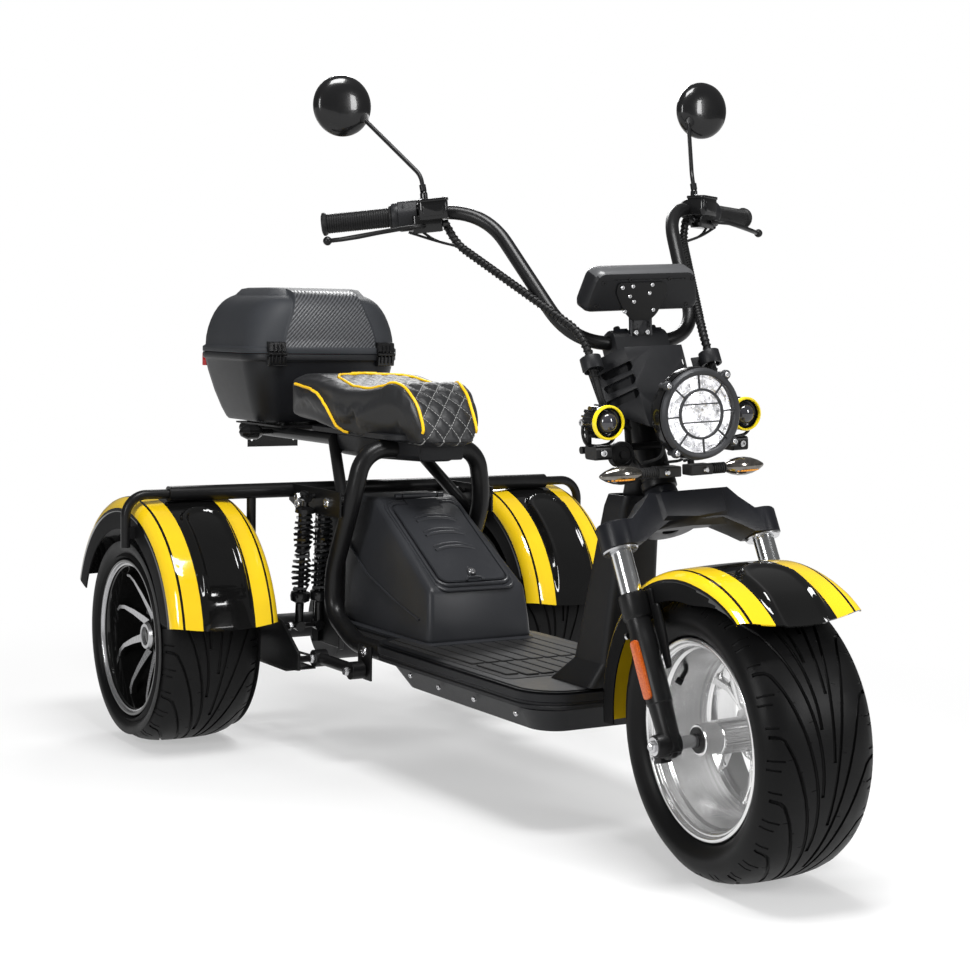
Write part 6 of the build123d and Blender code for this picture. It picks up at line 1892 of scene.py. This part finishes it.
knuckle = moved(turned("knuckle", [(0.0022, -0.04), (0.005, -0.04), (0.005, 0.04),
    (0.0022, 0.04), (0.0022, -0.04)], steps=24), SLOPE.inverted() @ at(PIN_X, 0, PIN_Z))
leaf = sheet("leaf", [(0.262, -0.038, 0.0055), (0.28, -0.038, 0.006), (0.288, -0.038, 0.005)],
    (0, 0.076, 0), 0.002)
cover = join("pedestal lid panel", [cover, lift_lip, soften(tear, 0.0012, 2), knuckle, leaf])
keep(cover, "battery_lid", "moulded_plastic", SLOPE, ["pedestal_lid"], PEDESTAL, 40)
lock = moved(turned("pedestal lock", [(0.0, 0.0125), (0.003, 0.0125), (0.0034, 0.014),
    (0.0072, 0.014), (0.0085, 0.0125), (0.0085, 0.007), (0.0, 0.007)], axis="Z", steps=32),
    at(0.038, 0, 0))
slit = slab("slit", "Z", 0.0126, 0.0004, [(0.0365, -0.0005), (0.0395, -0.0005),
    (0.0395, 0.0005), (0.0365, 0.0005)])
keep(join("pedestal lock", [lock, slit]), "battery_lid", "moulded_plastic", SLOPE, finish=ZINC)

# %% [markdown]
# The floor is a moulded tray with a rolled rim. Its skin is a stack of bridged rings:
# down the outside, over the rim and into the recess. The mat that lies in it has long
# raised ribs, and a second, shorter set in front. The skirt below carries small screws.

# %% Floor
def floor_ring(inset, z):
    """A ring of the floor tray."""
    return rounded_ring(-0.18 + inset, 0.475 - inset, 0.188 - inset, 0.08 - inset / 2, z)


floor_skin = rings_to_skin("floor tray", [floor_ring(*row)
    for row in ((0.006, 0.2252), (0.0005, 0.2262), (0.0, 0.232), (0.0028, 0.2345),
    (0.0028, 0.238), (0.0, 0.2405), (0.0, 0.253), (0.003, 0.2572), (0.0085, 0.2593),
    (0.014, 0.259), (0.018, 0.2572), (0.024, 0.257))])
tongue = slab("tongue", "Z", 0.2552, 0.0044, [(-0.444, -0.132), (-0.15, -0.132), (-0.15, 0.132),
    (-0.444, 0.132)])
keep(join("floor tray", [floor_skin, tongue]), "vehicle", "moulded_plastic",
    replaces=["footboard"], smooth=40)
mat = rings_to_skin("mat", [rounded_ring(*row) for row in ((-0.135, 0.33, 0.16, 0.016, 0.2572),
    (-0.135, 0.33, 0.16, 0.016, 0.26), (-0.132, 0.327, 0.157, 0.014, 0.261))])
ribs = []
for k in range(9):
    y = -0.132 + 0.033 * k
    runs = [(-0.016, 0.178), (0.19, 0.318)] if 1 <= k <= 7 else [(-0.128, 0.178), (0.19, 0.3)]
    for x0, x1 in runs:
        ribs.append(rings_to_skin("rib", [rounded_ring(*row)
            for row in ((x0, x1, 0.014, 0.005, 0.2605), (x0, x1, 0.014, 0.005, 0.263),
            (x0 + 0.0012, x1 - 0.0012, 0.0128, 0.004, 0.264))]))
        ribs[-1].data.transform(at(0, y, 0))
keep(join("mat", [mat] + ribs), "vehicle", "mat_rubber", replaces=["floor_mat"])
heads = bolts("skirt screws", [((x, side * 0.1835, z), (0, side, -0.3))
    for x, z in ((0.01, 0.216), (0.12, 0.212), (0.25, 0.212), (0.395, 0.212))
    for side in (-1, 1)], 0.005, 0.003)
keep(heads, "vehicle", "moulded_plastic", finish=ZINC)

# %% [markdown]
# Each rear corner hangs on two coil-over dampers. A coil is a thin tube that runs round
# the damper's axis as a helix. The damper inside it is spun: rod, body and two spring
# seats, with an eye at each end for the bolts.

# %% Rear dampers
TOP, LOW = Vector((-0.415, 0, 0.528)), Vector((-0.445, 0, 0.25))
reach = (LOW - TOP).length
DOWN = Matrix.Translation(TOP) @ (LOW - TOP).to_track_quat("Z", "Y").to_matrix().to_4x4()
core = turned("core", [(0.0, 0.008), (0.007, 0.008), (0.007, 0.02), (0.02, 0.026),
    (0.021, 0.034), (0.0135, 0.036), (0.0135, 0.12), (0.0125, 0.122), (0.0065, 0.123),
    (0.0065, 0.205), (0.02, 0.207), (0.0215, 0.214), (0.02, 0.224), (0.009, 0.23),
    (0.009, reach - 0.008), (0.0, reach - 0.008)], axis="Z", steps=28)
track = [Vector((0, 0, 0.036 + 0.171 * k / 60)) for k in range(61)]
coil = helix("coil", track, 0.0185, 0.0118, 0.0036)
eyes = []
for z in (0.0, reach):
    eyes.append(moved(disc("eye", 0.011, -0.012, 0.012), at(0, 0, z)))
unit = moved(join("damper", [core] + eyes), DOWN)
coil.data.transform(DOWN)
places = [at(0, side * y, 0) for side in (-1, 1) for y in (0.16, 0.205)]
dampers = [copy_of(unit, place) for place in places]
coils = [copy_of(coil, place) for place in places]
for piece in (unit, coil):
    bpy.data.objects.remove(piece)
keep(join("rear dampers", dampers), "vehicle", "spring_black", replaces=["rear_shocks"])
SPRING = speckled("spring paint", (0.01, 0.01, 0.011), 0.18, 0.06, 90, Metallic=0.3,
    Coat_Weight=0.5)
keep(join("rear coils", coils), "vehicle", "spring_black", finish=SPRING, smooth=60)
places = []
for side in (-1, 1):
    places += [((TOP.x, side * 0.2215, TOP.z), (0, side, 0)),
        ((LOW.x, side * 0.2215, LOW.z), (0, side, 0)), ((-0.35, side * 0.2175, 0.195),
        (0, side, 0)), ((-0.185, side * 0.2225, 0.196), (0, side, 0))]
keep(bolts("damper bolts", places, 0.0095, 0.007, 6), "vehicle", "frame_black", finish=ZINC)
places = []
for side in (-1, 1):
    places += [((-0.352, side * 0.1848, 0.519), (0, side, 0)),
        ((-0.49, side * 0.1848, 0.505), (0, side, 0)), ((-0.185, side * 0.1815, 0.233),
        (0, side, 0))]
keep(bolts("frame bolts", places, 0.011, 0.006, 24), "vehicle", "frame_black", finish=ZINC)

# %% [markdown]
# Under the seat a pressed tray joins the two hoops and carries the seat. A wider bracket
# with a folded edge closes it in front.

# %% Seat tray
def tray_ring(inset, z):
    """A ring of the seat tray, which narrows towards the front."""
    outline = [(-0.53 + inset, -0.07), (-0.5 + inset, -0.092 + inset), (-0.38, -0.098 + inset),
        (-0.3, -0.072 + inset), (-0.205 - inset, -0.042 + inset)]
    outline += [(x, -y) for x, y in reversed(outline)]
    return [tuple(p) for p in round_outline([(x, y, z) for x, y in outline], 0.016)]


tray = rings_to_skin("seat tray", [tray_ring(*row) for row in ((0.012, 0.61), (0.005, 0.614),
    (0.0, 0.622), (0.0, 0.653))])
front = slab("front", "X", -0.206, 0.008, [(-0.05, 0.614), (0.05, 0.614), (0.05, 0.654),
    (-0.05, 0.654)], 0.006)
soften(front, 0.002, 2)
pan = rings_to_skin("pan", [rounded_ring(-0.636, -0.215, half, 0.05, z)
    for half, z in ((0.097, 0.653), (0.102, 0.655), (0.102, 0.665), (0.097, 0.667))])
keep(join("seat tray", [tray, front, pan]), "vehicle", "frame_black", replaces=["seat_pan"],
    finish=FINISHES["moulded_plastic"])

# %% [markdown]
# Behind the dampers stand two pressed towers, and under each rear corner lies a slotted
# plate. They are sheets with folded edges, cut with rounded slots.

# %% Towers and slotted plates
towers = []
for side in (-1, 1):
    web = sheet("web", [(-0.492, side * 0.15, 0.205), (-0.488, side * 0.136, 0.205),
        (-0.372, side * 0.136, 0.205), (-0.366, side * 0.15, 0.205)], (0.012, 0, 0.29), 0.003)
    towers.append(web)
    base_plate = plate("base plate", round_outline([(-0.58, side * 0.176, 0.18),
        (-0.372, side * 0.176, 0.186), (-0.372, side * 0.216, 0.186),
        (-0.58, side * 0.216, 0.18)], 0.01), (0, 0, 0.003))
    for x in (-0.535, -0.455):
        slot = slab("slot", "Z", 0.17, 0.03, [(x - 0.026, side * 0.186),
            (x + 0.026, side * 0.186), (x + 0.026, side * 0.206), (x - 0.026, side * 0.206)],
            0.008)
        boolean(base_plate, slot)
    towers.append(base_plate)
keep(soften(join("damper towers", towers), 0.001, 1), "vehicle", "frame_black")
print("in all", len(MADE), "pieces,", sum(len(p.data.polygons) for p in MADE), "faces")
